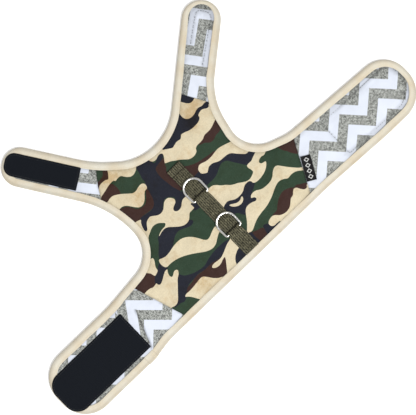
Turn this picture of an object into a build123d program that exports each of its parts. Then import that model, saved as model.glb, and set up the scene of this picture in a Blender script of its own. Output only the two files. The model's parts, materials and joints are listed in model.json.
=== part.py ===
"""Pet safety harness vest, unfastened and laid open flat, outside up.

Millimetres. The origin is under the middle of the vest's own box, on the surface it lies on.
+Y points to the neck straps, +X to the right wing, +Z up, out of the printed face.
The cloth folds where it wraps round the animal, so it is cut there into bodies that turn on fold lines.
"""
import os
from math import cos, radians, sin

from build123d import *

# Layers of the cloth stack, from the surface it lies on
TAPE_LIP = 1.2  # one thickness of the folded edge tape
LINING = 0.6
PADDING = 1.2
SHELL = 0.6
lining_z = TAPE_LIP
padding_z = lining_z + LINING
shell_z = padding_z + PADDING
shell_top = shell_z + SHELL
thickness = shell_top + TAPE_LIP
fold_z = thickness / 2

# Edge tape
TAPE_WIDTH = 9.0  # how far the tape laps over the face
TAPE_WALL = 1.0  # its thickness round the raw edge

# Outline, counter-clockwise: the x and y of each corner and the radius that rounds it
OUTLINE = [
    # hem, right half
    (120, -138.9, 150),
    (205, -142.9, 300),
    # right wing
    (273.2, -143.2, 36),
    (273.2, -71.8, 32),
    (126, -63.3, 60),
    # right armhole
    (76, -46, 36),
    (91, 25.4, 80),
    # right neck strap
    (176.4, 95.7, 22),
    (147.7, 130.5, 22),
    # neck edge
    (30.6, 32.8, 68),
    (-18.3, 32.6, 64),
    (-57, 66.4, 150),
    # left neck strap
    (-113.5, 151.5, 21.5),
    (-151.1, 126.7, 21.5),
    # left armhole
    (-79, 16, 120),
    (-79, -55, 36),
    # left wing
    (-159, -63.2, 150),
    (-273.2, -63.2, 35),
    (-273.2, -142.8, 35),
    # hem, left half
    (-160, -143.0, 100),
    (-135, -138.9, 100),
]

# Fold lines: a point on the line, and the direction in degrees that the outer piece leaves it
FOLD_GAP = 3.3  # from a fold line to the cloth stack on either side
LEFT_ROOT = (-90, -95, 180)
LEFT_MID = (-145, -101, 180)
RIGHT_ROOT = (90, -93, 0)
RIGHT_MID = (157, -103, 0)
LEFT_NECK = (-68.5, 45.9, 123.4)
RIGHT_NECK = (76.8, 40.5, 39.5)
PIECE_SPAN = 100  # wider than any wing or strap, shorter than the gap to the next one
PIECE_REACH = 190  # longer than any wing or strap past its fold
FAR = 200  # past the vest's edge in any direction, from the middle
NECK_EDGE_SPAN = (-62, 68)  # the neck edge's tape lies between these, and the armholes' tapes outside them
HEM_REACH = -100  # the hem's tape lies below this, and the armholes' tapes above it

# Seams between the camouflage panel and the zigzag-print wing panels, top end and bottom end
LEFT_SEAM = ((-131.6, -41.5), (-93.4, -159.5))
RIGHT_SEAM = ((141.3, -43.0), (81.0, -161.5))

# Hook and loop closures
HOOK = 1.8  # thickness of a hook pad, which stands on the outside
HOOK_CHAMFER = 0.5
LOOP = 1.2  # thickness of a loop pad, flush with the tape on the underside
GIRTH_HOOK_WIDTH = 51.5
GIRTH_HOOK_FROM, GIRTH_HOOK_TO = -154.5, -271.8
GIRTH_HOOK_Y = -103.8
GIRTH_HOOK_CORNER = 17
GIRTH_LOOP_WIDTH = 49
GIRTH_LOOP_FROM, GIRTH_LOOP_TO = 162, 262
GIRTH_LOOP_Y = -106
GIRTH_LOOP_CORNER = 14
NECK_TAPE_WIDTH = 25.5
NECK_TAPE_CORNER = 10
NECK_HOOK_FROM, NECK_HOOK_TO = 23.5, 110  # from the neck fold, along the strap
NECK_LOOP_FROM, NECK_LOOP_TO = 16, 99

# Leash webbing
WEBBING_X = 5.0
WEBBING_WIDTH = 19.0
WEBBING = 1.4
WEBBING_TOP, WEBBING_BOTTOM = 0.4, -129.6
HEM_TURN = 8.0  # length of the folded-over neck end
TACK = 0.4  # how far a row of thread stands up
TACK_LENGTH = 16.0
TACK_WIDTH = 1.0
TACK_FROM_BAR = 6.2
TACK_FROM_END = 2.0
TACK_FROM_TURN = 1.6

# D-rings
RING_WIRE = 1.5  # radius of the wire
RING_BARS = (-46.0, -100.0)
RING_HALF = 11.3  # half width between wire centres at the straight bar
RING_CROWN = 11.8  # half width where the round end starts
RING_ROUND = 11.5  # radius of the round end
RING_LENGTH = 23.6  # from the bar to the end of the round end
RING_CORNER = 2.4
RING_TILT = 5.0  # the ring rests on the webbing at this slope
RUNNING_GAP = 0.3
bar_z = shell_top + RUNNING_GAP + RING_WIRE
tunnel_inner = RING_WIRE + RUNNING_GAP
tunnel_outer = tunnel_inner + WEBBING
NOTCH_RADIUS = 5.5
NOTCH_HALF = 8.9

# Woven label, sewn into the right seam by one long side
LABEL_AT = (115.2, -107.8)
LABEL_SIZE = (29.5, 11.5)
LABEL_ANGLE = 61
LABEL_CORNER = 1.0
LABEL = 0.8


def outline_region(inset):
    """The vest's outline, taken in by inset."""
    with BuildSketch() as region:
        with BuildLine():
            FilletPolyline(
                [(x, y) for x, y, _ in OUTLINE],
                radius=[r for _, _, r in OUTLINE],
                close=True,
            )
        make_face()
        if inset:
            offset(amount=-inset, mode=Mode.REPLACE)
    return region.sketch


def beyond(fold, start):
    """Everything past a fold line, from start past it outwards."""
    x, y, turn = fold
    with BuildSketch() as region:
        with Locations(Location((x, y, 0), (0, 0, turn)) * Location((start, 0, 0))):
            Rectangle(PIECE_REACH, PIECE_SPAN, align=(Align.MIN, Align.CENTER))
    return region.sketch


def bounded(region, inner=None, outer=()):
    """The part of region past the inner fold and short of the outer ones."""
    with BuildSketch() as piece:
        add(region)
        if inner:
            add(beyond(inner, FOLD_GAP), mode=Mode.INTERSECT)
        for fold in outer:
            add(beyond(fold, -FOLD_GAP), mode=Mode.SUBTRACT)
    return piece.sketch


def seam_side(seam, far_x):
    """The side of a seam that far_x lies on."""
    (top_x, top_y), (bottom_x, bottom_y) = seam
    with BuildSketch() as region:
        with BuildLine():
            Polyline((top_x, top_y), (bottom_x, bottom_y), (far_x, bottom_y), (far_x, top_y), close=True)
        make_face()
    return region.sketch


def clip_box(x_low, x_high, y_low, y_high):
    with BuildSketch() as region:
        with Locations(((x_low + x_high) / 2, (y_low + y_high) / 2)):
            Rectangle(x_high - x_low, y_high - y_low)
    return region.sketch


def keep(part, name):
    part.label = name
    export_step(part, f"parts/{name}.step")
    print(f"{name:28s} {len(part.solids())} solid(s) {part.volume:9.1f} mm3")


os.makedirs("parts", exist_ok=True)

edge_region = outline_region(0)
cloth_region = outline_region(TAPE_WALL)
face_region = outline_region(TAPE_WIDTH)

# Each body: the fold it turns on, and the folds that its own outer pieces turn on
BODIES = {
    "torso": (None, (LEFT_ROOT, RIGHT_ROOT, LEFT_NECK, RIGHT_NECK)),
    "left_neck": (LEFT_NECK, ()),
    "right_neck": (RIGHT_NECK, ()),
    "left_wing": (LEFT_ROOT, (LEFT_MID,)),
    "left_wing_end": (LEFT_MID, ()),
    "right_wing": (RIGHT_ROOT, (RIGHT_MID,)),
    "right_wing_end": (RIGHT_MID, ()),
}


def strap_pad(fold, start, end):
    """A pad along a neck strap, with its outer corners rounded."""
    x, y, turn = fold
    with BuildSketch() as pad:
        Rectangle(end - start, NECK_TAPE_WIDTH)
        fillet(pad.vertices().group_by(Axis.X)[-1], NECK_TAPE_CORNER)
    return Location((x, y, 0), (0, 0, turn)) * Location(((start + end) / 2, 0, 0)) * pad.sketch


# Outlines of the hook pads and the loop pads, which lie over the tape at the tips
with BuildSketch() as girth_hook_outline:
    with Locations(((GIRTH_HOOK_FROM + GIRTH_HOOK_TO) / 2, GIRTH_HOOK_Y)):
        Rectangle(GIRTH_HOOK_FROM - GIRTH_HOOK_TO, GIRTH_HOOK_WIDTH)
    fillet(girth_hook_outline.vertices().group_by(Axis.X)[0], GIRTH_HOOK_CORNER)

with BuildSketch() as girth_loop_outline:
    with Locations(((GIRTH_LOOP_FROM + GIRTH_LOOP_TO) / 2, GIRTH_LOOP_Y)):
        Rectangle(GIRTH_LOOP_TO - GIRTH_LOOP_FROM, GIRTH_LOOP_WIDTH)
    fillet(girth_loop_outline.vertices().group_by(Axis.X)[-1], GIRTH_LOOP_CORNER)

HOOK_OUTLINES = {
    "girth_hook_pad": girth_hook_outline.sketch,
    "neck_hook_pad": strap_pad(LEFT_NECK, NECK_HOOK_FROM, NECK_HOOK_TO),
}
LOOP_OUTLINES = {
    "girth_loop_pad": girth_loop_outline.sketch,
    "neck_loop_pad": strap_pad(RIGHT_NECK, NECK_LOOP_FROM, NECK_LOOP_TO),
}

for name, pad_outline in HOOK_OUTLINES.items():
    with BuildPart() as hook_pad:
        with BuildSketch(Plane.XY.offset(shell_top)):
            add(pad_outline)
        extrude(amount=HOOK)
        chamfer(hook_pad.faces().sort_by(Axis.Z)[-1].edges(), HOOK_CHAMFER)
    keep(hook_pad.part, name)

for name, pad_outline in LOOP_OUTLINES.items():
    with BuildPart() as loop_pad:
        with BuildSketch():
            add(pad_outline)
        extrude(amount=LOOP)
    keep(loop_pad.part, name)

# Padding and lining of every body
for body, (inner, outer) in BODIES.items():
    stack = bounded(cloth_region, inner, outer)
    with BuildPart() as padding:
        with BuildSketch(Plane.XY.offset(padding_z)):
            add(stack)
        extrude(amount=PADDING)
    keep(padding.part, f"{body}_padding")
    with BuildPart() as lining:
        with BuildSketch(Plane.XY.offset(lining_z)):
            add(stack)
        extrude(amount=LINING)
    keep(lining.part, f"{body}_lining")

# Outer cloth: one print or the other, cut at the seams
torso_face = bounded(cloth_region, *BODIES["torso"])
left_wing_face = bounded(cloth_region, *BODIES["left_wing"])
right_wing_face = bounded(cloth_region, *BODIES["right_wing"])
OUTER_CLOTH = {
    "camo_panel": (torso_face, None),
    "camo_panel_left_flank": (left_wing_face, seam_side(LEFT_SEAM, 0)),
    "camo_panel_right_flank": (right_wing_face, seam_side(RIGHT_SEAM, 0)),
    "left_wing_panel": (left_wing_face, seam_side(LEFT_SEAM, -FAR)),
    "right_wing_panel": (right_wing_face, seam_side(RIGHT_SEAM, FAR)),
    "left_wing_end_panel": (bounded(cloth_region, *BODIES["left_wing_end"]), None),
    "right_wing_end_panel": (bounded(cloth_region, *BODIES["right_wing_end"]), None),
    "left_neck_panel": (bounded(cloth_region, *BODIES["left_neck"]), None),
    "right_neck_panel": (bounded(cloth_region, *BODIES["right_neck"]), None),
}
for name, (face, side) in OUTER_CLOTH.items():
    with BuildPart() as panel:
        with BuildSketch(Plane.XY.offset(shell_z)):
            add(face)
            if side:
                add(side, mode=Mode.INTERSECT)
        extrude(amount=SHELL)
    keep(panel.part, name)

# Edge tape, folded round the raw edges: a flat band with the cloth stack's slot cut into it
BINDINGS = {
    "neck_edge_binding": ("torso", clip_box(*NECK_EDGE_SPAN, 0, FAR)),
    "left_armhole_binding": ("torso", clip_box(-FAR, NECK_EDGE_SPAN[0], HEM_REACH, FAR)),
    "right_armhole_binding": ("torso", clip_box(NECK_EDGE_SPAN[1], FAR, HEM_REACH, FAR)),
    "hem_binding": ("torso", clip_box(-FAR, FAR, -FAR, HEM_REACH)),
    "left_neck_binding": ("left_neck", None),
    "right_neck_binding": ("right_neck", None),
    "left_wing_binding": ("left_wing", None),
    "left_wing_end_binding": ("left_wing_end", None),
    "right_wing_binding": ("right_wing", None),
    "right_wing_end_binding": ("right_wing_end", None),
}
for name, (body, clip) in BINDINGS.items():
    band = bounded(edge_region, *BODIES[body])
    with BuildPart() as binding:
        with BuildSketch():
            add(band)
            add(face_region, mode=Mode.SUBTRACT)
            if clip:
                add(clip, mode=Mode.INTERSECT)
        extrude(amount=thickness)
        with BuildSketch(Plane.XY.offset(lining_z)):
            add(bounded(cloth_region, *BODIES[body]))
        extrude(amount=shell_top - lining_z, mode=Mode.SUBTRACT)
        for pad_outlines, level in ((HOOK_OUTLINES, shell_top), (LOOP_OUTLINES, 0)):
            with BuildSketch(Plane.XY.offset(level)):
                for pad_outline in pad_outlines.values():
                    add(pad_outline)
            extrude(amount=TAPE_LIP, mode=Mode.SUBTRACT)
    keep(binding.part, name)

# Fold beads: the narrow strip of cloth that bends, as a round bead on each fold line
BEADS = {
    "torso_fold_beads": (LEFT_ROOT, RIGHT_ROOT, LEFT_NECK, RIGHT_NECK),
    "left_wing_fold_bead": (LEFT_MID,),
    "right_wing_fold_bead": (RIGHT_MID,),
}
for name, folds in BEADS.items():
    with BuildPart() as beads:
        for x, y, turn in folds:
            across = Vector(0, 1, 0).rotate(Axis.Z, turn)
            with BuildSketch(Plane(origin=(x, y, fold_z), z_dir=across)):
                Circle(fold_z)
            extrude(amount=PIECE_SPAN / 2, both=True)
        with BuildSketch():
            add(edge_region)
        extrude(amount=thickness, mode=Mode.INTERSECT)
    keep(beads.part, name)

# Leash webbing: flat on the shell, with a tunnel over each ring's bar and a turned-in neck end
with BuildPart() as leash_webbing:
    with BuildSketch(Plane.YZ.offset(WEBBING_X)):
        with Locations((WEBBING_TOP, shell_top)):
            Rectangle(WEBBING_TOP - WEBBING_BOTTOM, WEBBING, align=(Align.MAX, Align.MIN))
            Rectangle(HEM_TURN, 2 * WEBBING, align=(Align.MAX, Align.MIN))
        with Locations(*[(bar, bar_z) for bar in RING_BARS]):
            Circle(tunnel_outer)
            Rectangle(2 * tunnel_outer, bar_z - shell_top, align=(Align.CENTER, Align.MAX))
            Circle(tunnel_inner, mode=Mode.SUBTRACT)
            Rectangle(
                2 * tunnel_inner,
                bar_z - shell_top,
                align=(Align.CENTER, Align.MAX),
                mode=Mode.SUBTRACT,
            )
        with Locations((0, shell_top)):
            Rectangle(2 * FAR, FAR, align=(Align.CENTER, Align.MAX), mode=Mode.SUBTRACT)
    extrude(amount=WEBBING_WIDTH / 2, both=True)
    turned_end = leash_webbing.faces().filter_by(Axis.Y).sort_by(Axis.Y)[-1]
    fillet(turned_end.edges().filter_by(Axis.X).sort_by(Axis.Z)[-1], WEBBING)
    for side in (-1, 1):
        for bar in RING_BARS:
            with BuildSketch(Plane.YZ.offset(WEBBING_X + side * NOTCH_HALF)):
                with Locations((bar, bar_z)):
                    Circle(NOTCH_RADIUS)
            extrude(amount=side * WEBBING_WIDTH / 2, mode=Mode.SUBTRACT)
keep(leash_webbing.part, "leash_webbing")

# Rows of thread that hold the webbing down
flat_rows = [bar + side * TACK_FROM_BAR for bar in RING_BARS for side in (-1, 1)]
turned_rows = [WEBBING_TOP - TACK_FROM_END, WEBBING_TOP - HEM_TURN + TACK_FROM_TURN]
with BuildPart() as webbing_tacks:
    for rows, height in ((flat_rows, WEBBING), (turned_rows, 2 * WEBBING)):
        with BuildSketch(Plane.XY.offset(shell_top + height)):
            with Locations(*[(WEBBING_X, y) for y in rows]):
                SlotOverall(TACK_LENGTH, TACK_WIDTH)
        extrude(amount=TACK)
keep(webbing_tacks.part, "webbing_tacks")

# D-rings: one wire, bent to a straight bar, two legs and a round end
for name, bar in zip(("front_d_ring", "rear_d_ring"), RING_BARS):
    ring_plane = Plane(
        origin=(WEBBING_X, bar, bar_z),
        x_dir=(1, 0, 0),
        z_dir=(0, -sin(radians(RING_TILT)), cos(radians(RING_TILT))),
    )
    with BuildPart() as d_ring:
        with BuildLine(ring_plane) as ring_path:
            FilletPolyline(
                (RING_HALF, 0),
                (RING_CROWN, RING_LENGTH),
                (-RING_CROWN, RING_LENGTH),
                (-RING_HALF, 0),
                radius=[RING_CORNER, RING_ROUND, RING_ROUND, RING_CORNER],
                close=True,
            )
        with BuildSketch(Plane(origin=ring_path.wire() @ 0, z_dir=ring_path.wire() % 0)):
            Circle(RING_WIRE)
        sweep(path=ring_path.wire())
    keep(d_ring.part, name)

# Woven label
with BuildPart() as woven_label:
    with BuildSketch(Plane.XY.offset(shell_top)):
        with Locations(Location((*LABEL_AT, 0), (0, 0, LABEL_ANGLE))):
            RectangleRounded(*LABEL_SIZE, LABEL_CORNER)
    extrude(amount=LABEL)
keep(woven_label.part, "woven_label")
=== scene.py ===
"""The looks of a pet harness vest that lies open, outside up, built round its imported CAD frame.

Lengths are millimetres in the frame's axes, and become metres as each mesh is made.
"""
import json
import math

import bpy
import numpy as np
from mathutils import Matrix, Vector, kdtree, noise
from mathutils.bvhtree import BVHTree
from mathutils.geometry import delaunay_2d_cdt


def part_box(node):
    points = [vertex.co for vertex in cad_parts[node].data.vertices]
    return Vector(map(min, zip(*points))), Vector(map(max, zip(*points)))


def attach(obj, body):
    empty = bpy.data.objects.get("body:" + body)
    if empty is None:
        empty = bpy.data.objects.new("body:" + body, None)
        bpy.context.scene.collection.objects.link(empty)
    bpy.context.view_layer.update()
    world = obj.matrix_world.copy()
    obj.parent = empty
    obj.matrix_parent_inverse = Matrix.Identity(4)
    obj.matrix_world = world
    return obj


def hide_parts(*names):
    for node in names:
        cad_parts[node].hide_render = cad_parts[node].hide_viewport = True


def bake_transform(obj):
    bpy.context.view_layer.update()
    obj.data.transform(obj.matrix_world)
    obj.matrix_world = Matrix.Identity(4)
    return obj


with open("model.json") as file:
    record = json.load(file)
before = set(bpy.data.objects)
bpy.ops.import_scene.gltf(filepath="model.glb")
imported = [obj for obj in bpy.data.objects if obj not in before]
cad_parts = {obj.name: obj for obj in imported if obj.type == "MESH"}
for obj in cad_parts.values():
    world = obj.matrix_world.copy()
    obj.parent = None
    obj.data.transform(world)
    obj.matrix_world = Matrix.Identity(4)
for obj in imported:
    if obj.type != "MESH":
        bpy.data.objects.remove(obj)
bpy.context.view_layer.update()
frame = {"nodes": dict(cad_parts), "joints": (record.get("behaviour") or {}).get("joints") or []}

MM = 0.001

# ---------------------------------------------------------------- sizes

# The outline, counter-clockwise: the x and y of each corner and the radius that rounds it
OUTLINE = [
    (120, -138.9, 150), (205, -142.9, 300),  # hem, right half
    (273.2, -143.2, 36), (273.2, -71.8, 32), (126, -63.3, 60),  # right wing
    (76, -46, 36), (91, 25.4, 80),  # right armhole
    (176.4, 95.7, 22), (147.7, 130.5, 22),  # right neck strap
    (30.6, 32.8, 68), (-18.3, 32.6, 64), (-57, 66.4, 150),  # neck edge
    (-113.5, 151.5, 21.5), (-151.1, 126.7, 21.5),  # left neck strap
    (-79, 16, 120), (-79, -55, 36),  # left armhole
    (-159, -63.2, 150), (-273.2, -63.2, 35), (-273.2, -142.8, 35),  # left wing
    (-160, -143.0, 100), (-135, -138.9, 100),  # hem, left half
]
EDGE_STEP = 1.6  # spacing of the points along the outline

SHELL_TOP, SHELL = 3.6, 0.6  # the outer cloth's rest height and thickness
LINING_BOTTOM, LINING = 1.2, 0.5
TAPE_WIDTH, TAPE_TOP = 9.0, 4.75
CLOTH_EDGE = 1.6  # the cloth stops this far inside the outline, within the tape
PUFF_CAP = 1.5  # the most that the padding lifts the outer cloth
FOLD_REACH = 12.0  # room kept each side of a fold line; the neck cells start past it

WEBBING_X, WEBBING_HALF = 5.0, 9.7  # centre line and half width
WEBBING, WEBBING_RIBS = 1.4, 8  # thickness, and ribs across it
WEBBING_TOP, WEBBING_BOTTOM = 0.4, -131.5
RING_BARS = (-46.0, -100.0)
RING_HALF = 15.5  # half a ring's width, with its wire
RING_REACH = 26.0  # from a ring's bar to its far end, with its wire
# Painted shade and painted highlight in bands across the webbing, by the rings' tunnels and under its turned
# end: y, reach, how dark or light
WEBBING_PAINTED_SHADE_BANDS = [
    (-42.6, 1.7, 0.22), (-96.6, 1.7, 0.18), (-52.0, 8.0, 1.25), (-106.0, 8.0, 1.25),
    (-8.9, 0.9, 0.25), (0.4, 1.0, 0.5),
]

# Seams between the camouflage and the zigzag print, as chains of points
LEFT_SEAM = [(-127.8, -53), (-122, -71), (-103, -130), (-99.5, -141)]
RIGHT_SEAM = [(137, -52), (126, -73), (96, -132), (91.4, -141)]
LEFT_NECK_SEAM = [(-84, 26), (-78, 33), (-71.5, 44.5), (-61.3, 58), (-55, 66)]
RIGHT_NECK_SEAM = [(66, 60), (70.5, 52), (77, 40.5), (82.5, 31), (91, 17)]

# Stitched boxes of the loop pads, as they show on the outside: centre line of the stitches
GIRTH_LOOP = [(161, -81.5), (161, -128.5), (243, -129.5), (259, -121), (266, -107), (263, -89), (256, -83.5)]
NECK_LOOP = [(107.6, 59), (143.6, 85), (154, 92), (156, 100), (149, 109), (141, 105.5), (115, 86)]

GIRTH_HOOK_LOW, GIRTH_HOOK_HIGH = (-271.8, -129.5), (-154.5, -78.0)  # corners of its box
NECK_HOOK_WIDTH = 27.0
NECK_HOOK_FROM, NECK_HOOK_TO = 23.5, 110.0  # along the strap, from its fold

# ---------------------------------------------------------------- the camouflage print, blob by blob

TAN = [
    # left neck
    [(-80, 31.5), (-77, 32.7), (-70, 34), (-62, 36), (-55, 36.3), (-53, 34.3), (-49, 34.8), (-45, 34.2),
     (-42.5, 31), (-40, 28), (-37, 25.8), (-33, 25.3), (-28, 27), (-24, 30.2), (-19, 29.8), (-16, 38),
     (-28, 44), (-40, 52), (-48, 55), (-52.5, 47.5), (-55.5, 43.5), (-58, 41.6), (-61, 43), (-66, 43.6),
     (-70, 43), (-74, 40.5), (-82, 38)],
    # left shoulder
    [(-82, 22), (-75, 23.6), (-71, 24.4), (-67, 24), (-63, 22), (-58, 18.5), (-54, 15), (-51, 12.4),
     (-48, 10.4), (-44, 10), (-40, 11), (-36, 11.6), (-33, 10.8), (-31.4, 8.3), (-32, 5), (-33.5, 3.2),
     (-36.5, 3), (-39.5, 0.8), (-43, -3), (-47, -6), (-51, -7), (-54.5, -6), (-57.5, -3), (-60.5, 1.2),
     (-63.5, 5), (-67, 7.4), (-71, 8), (-82, 7.5)],
    # left armhole, across to the webbing
    [(-82, -14), (-70, -15.3), (-66, -16.2), (-63.2, -17.7), (-65.5, -20.5), (-67.4, -24.5), (-68.6, -29),
     (-67.8, -31.2), (-65.5, -30.8), (-63, -27.5), (-60, -24.2), (-56, -22.6), (-52.5, -22.6), (-49, -24.8),
     (-45.5, -27.2), (-41.5, -28.1), (-37.5, -27.4), (-34, -25), (-30.5, -22), (-27, -20.7), (-23.5, -21.3),
     (-20.5, -24.2), (-19.3, -27.4), (-21, -30.6), (-25, -32.4), (-28, -34.6), (-28.4, -37), (-26.3, -39.2),
     (-23, -39.7), (-19.5, -38.7), (-16, -36), (-12.5, -34), (-8, -34), (0, -35), (0, -44), (-9, -43.8),
     (-9.8, -46.5), (-10, -49.8), (-14, -50.2), (-17.5, -50.5), (-20.5, -53), (-23.5, -55.6), (-27, -56.6),
     (-31.5, -56.2), (-36, -54), (-41, -50), (-46, -45.6), (-50, -43.8), (-55, -43.9), (-61, -45.6),
     (-58, -43.6), (-53, -42.3), (-48.5, -42), (-45.8, -39.8), (-48, -37), (-52, -33.8), (-57, -32.5),
     (-61.5, -33.3), (-66, -35.4), (-71, -38.2), (-76, -44), (-84, -40)],
    # left of the rear ring
    [(-79.5, -64.8), (-77, -65.5), (-72, -67.2), (-66, -66.8), (-60, -65.6), (-54, -64.6), (-47, -64.7),
     (-42, -66.3), (-37.5, -69.3), (-33.5, -73.5), (-30, -79), (-27, -84), (-24, -86.4), (-20, -86),
     (-16, -84.3), (-11, -82.4), (-6, -81.5), (0, -80), (0, -89), (-7, -89.4), (-11, -90.8), (-15.5, -93.4),
     (-20, -96.3), (-25, -97.6), (-30, -97), (-36, -94.2), (-43, -89.3), (-50, -84.8), (-58, -80.6),
     (-66, -77.9), (-73, -76.9), (-79, -76.8), (-81.3, -74), (-81.8, -69.8), (-81, -66.3)],
    # left flank
    [(-128, -81), (-120, -81.2), (-115, -80.7), (-110, -81.2), (-106.5, -82.6), (-102.5, -82.2), (-100.6, -82),
     (-100, -84.6), (-97.5, -85.8), (-93.5, -84.3), (-88.5, -81.3), (-84, -79), (-80.6, -79), (-82.6, -82),
     (-83.8, -86), (-82.8, -88.8), (-80, -88.2), (-76.8, -86.2), (-74, -86.3), (-72.6, -88.3), (-75, -91.8),
     (-79.5, -95), (-84, -99.8), (-90, -106.2), (-95, -111.6), (-99, -114.6), (-103.5, -115), (-107, -114),
     (-120, -112)],
    [(-103, -58), (-100.5, -65.5), (-97.5, -69.5), (-96, -74.3), (-93.5, -74.3), (-89.5, -72.4), (-88.3, -68),
     (-84, -58)],
    # hem, left half
    [(-87.3, -115.6), (-84.5, -114.2), (-79, -114.4), (-72, -113.9), (-65, -113), (-60, -112.5),
     (-56.5, -113.8), (-53.3, -117.6), (-50, -122.2), (-46, -126.2), (-41.5, -128.8), (-39, -131),
     (-38.5, -142), (-70, -142), (-76, -134), (-77.8, -129), (-80.5, -124.2), (-83, -120.2), (-85.5, -117.5)],
    [(-42.3, -113.4), (-40.5, -111.7), (-36.5, -111.3), (-31.5, -111.9), (-27, -111.9), (-23, -110.6),
     (-18, -108.5), (-12.5, -106), (-7.5, -104.7), (0, -104), (0, -118), (-6, -118.3), (-10.5, -120),
     (-15, -122.8), (-18.2, -126.5), (-19.8, -131), (-20, -142), (-35.5, -142), (-35.3, -131),
     (-33.4, -128.5), (-30.5, -124.7), (-27.5, -120.8), (-25, -117.4), (-23.8, -114.4), (-27.5, -115),
     (-31.5, -116.6), (-36, -117), (-40, -115.8)],
    # right shoulder
    [(-9.5, 26), (-8.8, 23), (-6.5, 20.4), (-2.5, 19.9), (1, 21.1), (4.3, 21.4), (6.9, 19.6), (6.3, 16.8),
     (3.8, 13.2), (1.6, 9.9), (4, 8.4), (8, 6.6), (12, 3.8), (16, 1.2), (20, -2.2), (24, -5.7), (28, -7.2),
     (32.5, -7.2), (36.5, -5.6), (38.6, -2.6), (42, -1.1), (47.5, -1.1), (52, -0.3), (56, 1.5), (60, 1.6),
     (65, 1.6), (70, 3), (76, 5.3), (90, 10), (92, 20), (84.5, 23.5), (82.4, 21.7), (79.5, 21.6),
     (76.5, 23.4), (73.5, 24.6), (70, 24), (66.8, 22.6), (66, 20), (63, 17.7), (58, 16.7), (52, 16.6),
     (47, 17.5), (42, 19.4), (37.5, 20.3), (35.6, 18.8), (33, 17.3), (28, 18), (23.5, 17), (20, 16.4),
     (16.5, 18.3), (12.5, 21), (10.3, 23.3), (11, 34), (0, 38), (-10, 34)],
    # right neck
    [(48, 44), (52.2, 40), (52.2, 34), (53.4, 30), (56.5, 27.3), (61, 26.5), (65, 27), (69, 28.5),
     (73, 28.8), (77, 27.6), (82, 28), (90, 27), (94, 34), (84, 44), (78.5, 40.6), (74.5, 39), (71, 38.7),
     (67.8, 40.4), (65, 44), (62.7, 48.3), (58, 54)],
    # right armhole
    [(22.9, -25.5), (24, -21.5), (27.5, -19.1), (31, -19.2), (35, -20.6), (40, -21.5), (46, -21.4),
     (52, -20.5), (57, -20.3), (62, -21.4), (67, -22.9), (73, -24.6), (82, -26), (92, -40), (82, -46),
     (77.5, -46.8), (74.5, -46), (71, -42.6), (67.5, -38.8), (64.5, -35.2), (61, -33), (56, -32.1),
     (50.5, -31.9), (46, -30.8), (42, -28.6), (38.5, -27.7), (34.5, -28), (31.5, -29.9), (28.8, -31.4),
     (26, -30), (23.6, -28)],
    # right of the webbing, between the rings
    [(8, -46.5), (14.5, -46.3), (19, -45.7), (23, -46.4), (26.5, -49), (30, -53), (34, -56), (37.5, -59.6),
     (41, -62), (45.5, -64.2), (50, -67.3), (54.5, -69.7), (59, -70.2), (63.5, -69), (66.8, -67),
     (67, -63.5), (66.1, -60), (66.8, -57.2), (70, -56.5), (74, -56.6), (78, -55), (83, -53.2), (94, -50),
     (98, -57), (90, -61.6), (86, -61), (82, -61.7), (79.3, -64), (80.6, -66.8), (85.3, -68.3),
     (83.6, -71.3), (79.5, -74.4), (74, -76.8), (67.5, -78), (61.5, -77.8), (58.3, -76), (57.6, -73),
     (55.5, -71.3), (51, -71.1), (47.5, -72.3), (43.5, -74.8), (38.5, -76), (33, -75.9), (28.5, -74.3),
     (25, -72), (21.5, -71), (17.5, -71.7), (8, -73)],
    [(21, -75.8), (23, -76), (26, -78), (30, -79.8), (34, -79.8), (37.5, -78.2), (38.5, -79.5),
     (36.5, -82.2), (33, -83.8), (28.5, -83.4), (24.5, -81.2), (22, -78.5)],
    # right flank
    [(8, -112), (14.5, -110.8), (18.5, -107.3), (22.5, -103), (26, -98.2), (29.5, -93.6), (33, -91),
     (37.5, -90.4), (42, -91.3), (46, -92.8), (48.6, -91.4), (47.6, -88.7), (44.7, -87), (46.8, -84.6),
     (51, -83.9), (55, -84.9), (59, -87.3), (63.5, -88.6), (69, -88.9), (75, -88.1), (79.5, -85.7),
     (83.5, -82.2), (88, -80.2), (91.5, -81), (94.8, -84.8), (98.5, -89.7), (103, -95), (108, -100.2),
     (114, -104), (109.5, -105.3), (104.5, -101.8), (100, -99.8), (95, -99.4), (90.5, -99.8), (86, -97),
     (81.5, -95.4), (76.5, -95.8), (70.5, -98.2), (64.5, -101.2), (57.5, -104), (50, -106), (42, -106.9),
     (34.5, -108.4), (28, -110.8), (22.5, -113.6), (18.5, -114.7), (14.5, -113.4), (8, -114)],
    # hem, right half
    [(38.4, -122.5), (41, -119.8), (46.5, -118.4), (50.5, -119.8), (54.5, -123.6), (59.5, -125.8),
     (65, -126), (70, -124.3), (74, -121), (77, -118.6), (81, -117.6), (84, -114.8), (87, -113.2),
     (90, -114.6), (92.3, -118.6), (95.3, -122.1), (99, -122.3), (101.5, -120), (110, -124), (102, -142),
     (52, -142), (50.5, -129.8), (47, -128), (42, -127.8), (39.2, -126)],
]
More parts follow.
